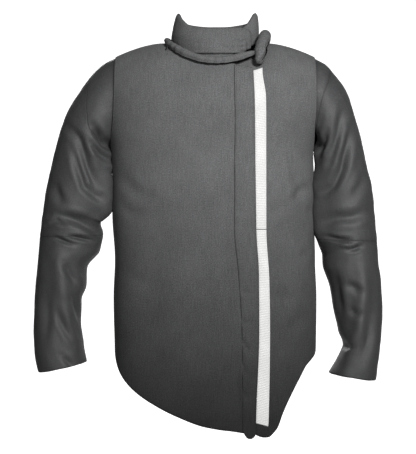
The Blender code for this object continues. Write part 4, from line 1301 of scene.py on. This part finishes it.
# %% Charcoal cloth
TWILL_PITCH = 0.0016
SHADE_FOOT, SHADE_HEAD = -0.76, -0.28
WAVE_PERIOD = 0.314


def charcoal(name, dark, light, speckle, streak, rough, shine, twill, edge_shade, hem_shade):
    """A charcoal cloth: speckle and streaks in the colour, painted shade towards the hem and at edges and
    seams, twill ribs and fibres in the bump.
    """
    material = bpy.data.materials.new(name)
    material.use_nodes = True
    tree = material.node_tree
    shader = tree.nodes["Principled BSDF"]
    coordinates = node(tree, "ShaderNodeTexCoord")
    cloth_map = coordinates.outputs["UV"]

    base = ramp(tree, noise(tree, stretched(tree, cloth_map, (1, 0.62, 1)), 620.0, 3.0, 0.7),
                0.5 - speckle, 0.5 + speckle, dark, light)
    streaks = ramp(tree, noise(tree, stretched(tree, cloth_map, (1, 0.06, 1)), 520.0, 2.0, 0.6),
                   0.30, 0.70, (1 - streak,) * 3, (1 + streak,) * 3)
    colour = blended(tree, "MULTIPLY", 1.0, base, streaks)
    cloudy = ramp(tree, noise(tree, cloth_map, 14.0, 3.0, 0.6), 0.3, 0.7, (0.90,) * 3, (1.08,) * 3)
    colour = blended(tree, "MULTIPLY", 1.0, colour, cloudy)
    level = tree.nodes.new("ShaderNodeSeparateXYZ")
    tree.links.new(coordinates.outputs["Object"], level.inputs["Vector"])
    # Painted shade: the colour darkens from the chest down to the hem, where the light falls off.
    painted_shade = ramp(tree, level.outputs["Z"], SHADE_FOOT, SHADE_HEAD, hem_shade, (1.0, 1.0, 1.0))
    colour = blended(tree, "MULTIPLY", 1.0, colour, painted_shade)
    # Painted shade: the colour darkens near edges and seams, where shade falls on the rounded edges and in
    # the seams.
    edge = node(tree, "ShaderNodeAttribute", attribute_name="edge").outputs["Fac"]
    colour = blended(tree, "MULTIPLY", edge, colour, edge_shade)
    tree.links.new(colour, shader.inputs["Base Color"])

    roughness = tree.nodes.new("ShaderNodeMapRange")
    roughness.inputs["To Min"].default_value = rough - 0.07
    roughness.inputs["To Max"].default_value = rough + 0.07
    tree.links.new(noise(tree, cloth_map, 240.0), roughness.inputs["Value"])
    tree.links.new(roughness.outputs["Result"], shader.inputs["Roughness"])
    shader.inputs["Sheen Weight"].default_value = 0.02
    shader.inputs["Sheen Roughness"].default_value = 0.45
    shader.inputs["Specular IOR Level"].default_value = shine

    ribs = node(tree, "ShaderNodeTexWave", Scale=WAVE_PERIOD / TWILL_PITCH, Distortion=0.6, Detail=1.0)
    tree.links.new(stretched(tree, cloth_map, (1, 1, 1), math.radians(58)), ribs.inputs["Vector"])
    fibres = noise(tree, stretched(tree, cloth_map, (1, 0.5, 1)), 900.0, 3.0, 0.7)
    normal = bumped(tree, ribs.outputs["Fac"], 0.0002, twill)
    normal = bumped(tree, fibres, 0.0005, 0.55, normal)
    tree.links.new(normal, shader.inputs["Normal"])
    return material


# For each cloth the last two colours are painted shade: the darkening at edges and seams, and the darkening
# towards the hem.
panel_cloth = charcoal("panel_cloth", (0.046, 0.0465, 0.0475), (0.130, 0.131, 0.133),
                       0.20, 0.14, 0.85, 0.10, 0.5, (0.78, 0.78, 0.78), (0.19, 0.19, 0.19))
sleeve_cloth = charcoal("sleeve_cloth", (0.022, 0.0224, 0.0232), (0.060, 0.0605, 0.062),
                        0.20, 0.12, 0.58, 0.30, 0.45, (0.60, 0.60, 0.60), (0.80, 0.80, 0.80))

# %% White tape and threads
def woven_white(name):
    """White tape, woven in fine ribs across, with a row of small loops."""
    material = bpy.data.materials.new(name)
    material.use_nodes = True
    tree = material.node_tree
    shader = tree.nodes["Principled BSDF"]
    cloth_map = node(tree, "ShaderNodeTexCoord").outputs["UV"]
    fine = noise(tree, cloth_map, 520.0, 2.0, 0.6)
    colour = ramp(tree, fine, 0.3, 0.7, (0.50, 0.50, 0.495), (0.70, 0.70, 0.695))
    soil = ramp(tree, noise(tree, cloth_map, 18.0, 3.0), 0.35, 0.7, (0.88, 0.88, 0.87), (1.0, 1.0, 1.0))
    tree.links.new(blended(tree, "MULTIPLY", 1.0, colour, soil), shader.inputs["Base Color"])
    shader.inputs["Roughness"].default_value = 0.75
    shader.inputs["Sheen Weight"].default_value = 0.1
    ribs = node(tree, "ShaderNodeTexWave", Scale=WAVE_PERIOD / 0.0034, Distortion=0.5,
                bands_direction="Y")
    tree.links.new(cloth_map, ribs.inputs["Vector"])
    columns = node(tree, "ShaderNodeTexWave", Scale=WAVE_PERIOD / 0.0024, Distortion=0.3)
    tree.links.new(cloth_map, columns.inputs["Vector"])
    normal = bumped(tree, ribs.outputs["Fac"], 0.0006, 0.8)
    normal = bumped(tree, columns.outputs["Fac"], 0.0004, 0.5, normal)
    normal = bumped(tree, fine, 0.0004, 0.5, normal)
    tree.links.new(normal, shader.inputs["Normal"])
    return material


def thread(name, dark, light):
    """Twisted thread."""
    material = bpy.data.materials.new(name)
    material.use_nodes = True
    tree = material.node_tree
    shader = tree.nodes["Principled BSDF"]
    place = node(tree, "ShaderNodeTexCoord").outputs["Object"]
    colour = ramp(tree, noise(tree, place, 700.0, 2.0), 0.3, 0.7, dark, light)
    tree.links.new(colour, shader.inputs["Base Color"])
    shader.inputs["Roughness"].default_value = 0.6
    return material


tape_cloth = woven_white("tape_weave")
dark_thread = thread("dark_thread", (0.020, 0.020, 0.021), (0.060, 0.060, 0.062))
grey_thread = thread("grey_thread", (0.10, 0.10, 0.101), (0.20, 0.20, 0.202))
pale_thread = thread("pale_thread", (0.30, 0.30, 0.30), (0.55, 0.55, 0.55))


def dress(pieces, material):
    """Give pieces one material."""
    for piece in pieces:
        piece.data.materials.clear()
        piece.data.materials.append(material)


dress([right_front, left_front, back_cloth, front_band, collar, neck_roll], panel_cloth)
dress(right_sleeve + left_sleeve, sleeve_cloth)
dress([tape_upper, tape_lower], tape_cloth)
dress(dark_rows, dark_thread)
dress(grey_rows, grey_thread)
dress(white_rows, pale_thread)
print("materials:", [material.name for material in bpy.data.materials if material.users])

# %% [markdown]
# ## Studio
# A pale floor curves up into a backdrop, so there is no horizon behind the jacket. One large
# soft light hangs high in front, on the wearer's left. A weak one fills the other side, and a
# third lights the back. The camera stands level with the middle of the jacket, far enough away
# for little perspective.

# %% Floor and backdrop
FLOOR = -2.10
WALL_DISTANCE = 4.8
WALL_WIDTH = 6.0
WALL_TOP = 2.4
BEND = 0.30
FRONT_STAGE = -3.0


def swept_plane(name, width, front, back, top):
    """A floor that curves up into a wall, with a round bend between them."""
    bpy.ops.object.select_all(action="DESELECT")
    bpy.ops.mesh.primitive_plane_add(size=1)
    sweep = bpy.context.object
    sweep.name = name
    bpy.ops.object.mode_set(mode="EDIT")
    bpy.ops.transform.resize(value=(width, back - BEND - front, 1))
    bpy.ops.transform.translate(value=(0, (back - BEND + front) / 2, FLOOR))
    bpy.ops.mesh.select_all(action="DESELECT")
    bpy.ops.object.mode_set(mode="OBJECT")
    for edge in sweep.data.edges:
        edge.select = min(sweep.data.vertices[end].co.y for end in edge.vertices) > back - BEND - 0.001
    bpy.ops.object.mode_set(mode="EDIT")
    bpy.ops.mesh.select_mode(type="EDGE")
    bpy.ops.mesh.spin(steps=16, angle=-math.pi / 2, center=(0, back - BEND, FLOOR + BEND), axis=(1, 0, 0))
    bpy.ops.mesh.extrude_region_move(TRANSFORM_OT_translate={"value": (0, 0, top - FLOOR - BEND)})
    bpy.ops.object.mode_set(mode="OBJECT")
    bpy.ops.object.shade_smooth()
    heights = [vertex.co.z for vertex in sweep.data.vertices]
    print(name, "runs from", round(min(heights), 2), "up to", round(max(heights), 2))
    return sweep


def paper(name, grey, glow):
    """Matt paper that may glow a little, as a lit backdrop does."""
    material = bpy.data.materials.new(name)
    material.use_nodes = True
    shader = material.node_tree.nodes["Principled BSDF"]
    shader.inputs["Base Color"].default_value = (grey, grey, grey, 1)
    shader.inputs["Roughness"].default_value = 0.9
    shader.inputs["Emission Color"].default_value = (1, 1, 1, 1)
    shader.inputs["Emission Strength"].default_value = glow
    return material


backdrop = swept_plane("backdrop", WALL_WIDTH, FRONT_STAGE, WALL_DISTANCE, WALL_TOP)
backdrop_paper = paper("backdrop_paper", 0.85, 0.0)
backdrop_glow = paper("backdrop_glow", 0.85, 1.0)
backdrop.data.materials.append(backdrop_paper)
backdrop.data.materials.append(backdrop_glow)
for face in backdrop.data.polygons:
    face.material_index = int(face.center.y > WALL_DISTANCE - BEND)

# %% Lights
def soft_light(name, place, target, size, power, spread=math.pi):
    """A square soft light at a place, aimed at a target."""
    lamp = bpy.data.lights.new(name, "AREA")
    lamp.shape = "SQUARE"
    lamp.size = size
    lamp.energy = power
    lamp.spread = spread
    holder = bpy.data.objects.new(name, lamp)
    holder.location = place
    aim = np.array(target) - np.array(place)
    flat = math.hypot(aim[0], aim[1])
    holder.rotation_euler = (math.pi / 2 + math.atan2(aim[2], flat), 0, math.atan2(-aim[0], aim[1]))
    bpy.context.collection.objects.link(holder)
    return holder


soft_light("key", (0.85, -2.30, 0.75), (0.0, -0.10, -0.25), 0.50, 98.0)
soft_light("front_strip", (-0.60, -2.6, 0.10), (0.0, 0.0, -0.35), 0.60, 14.0)
soft_light("back_fill", (-0.70, 3.0, 0.80), (0.0, 0.1, -0.30), 0.80, 30.0)
world = bpy.data.worlds.new("studio_air")
world.use_nodes = True
world.node_tree.nodes["Background"].inputs["Color"].default_value = (1, 1, 1, 1)
world.node_tree.nodes["Background"].inputs["Strength"].default_value = 0.06
bpy.context.scene.world = world
bpy.context.scene.view_settings.view_transform = "Standard"

# %% Camera
LENS = 108.7
lens = bpy.data.cameras.new("camera")
lens.lens = LENS
lens.sensor_width = 36.0
lens.sensor_fit = "HORIZONTAL"
camera = bpy.data.objects.new("camera", lens)
camera.location = EYE
camera.rotation_euler = (math.pi / 2, 0, 0)
bpy.context.collection.objects.link(camera)
bpy.context.scene.camera = camera
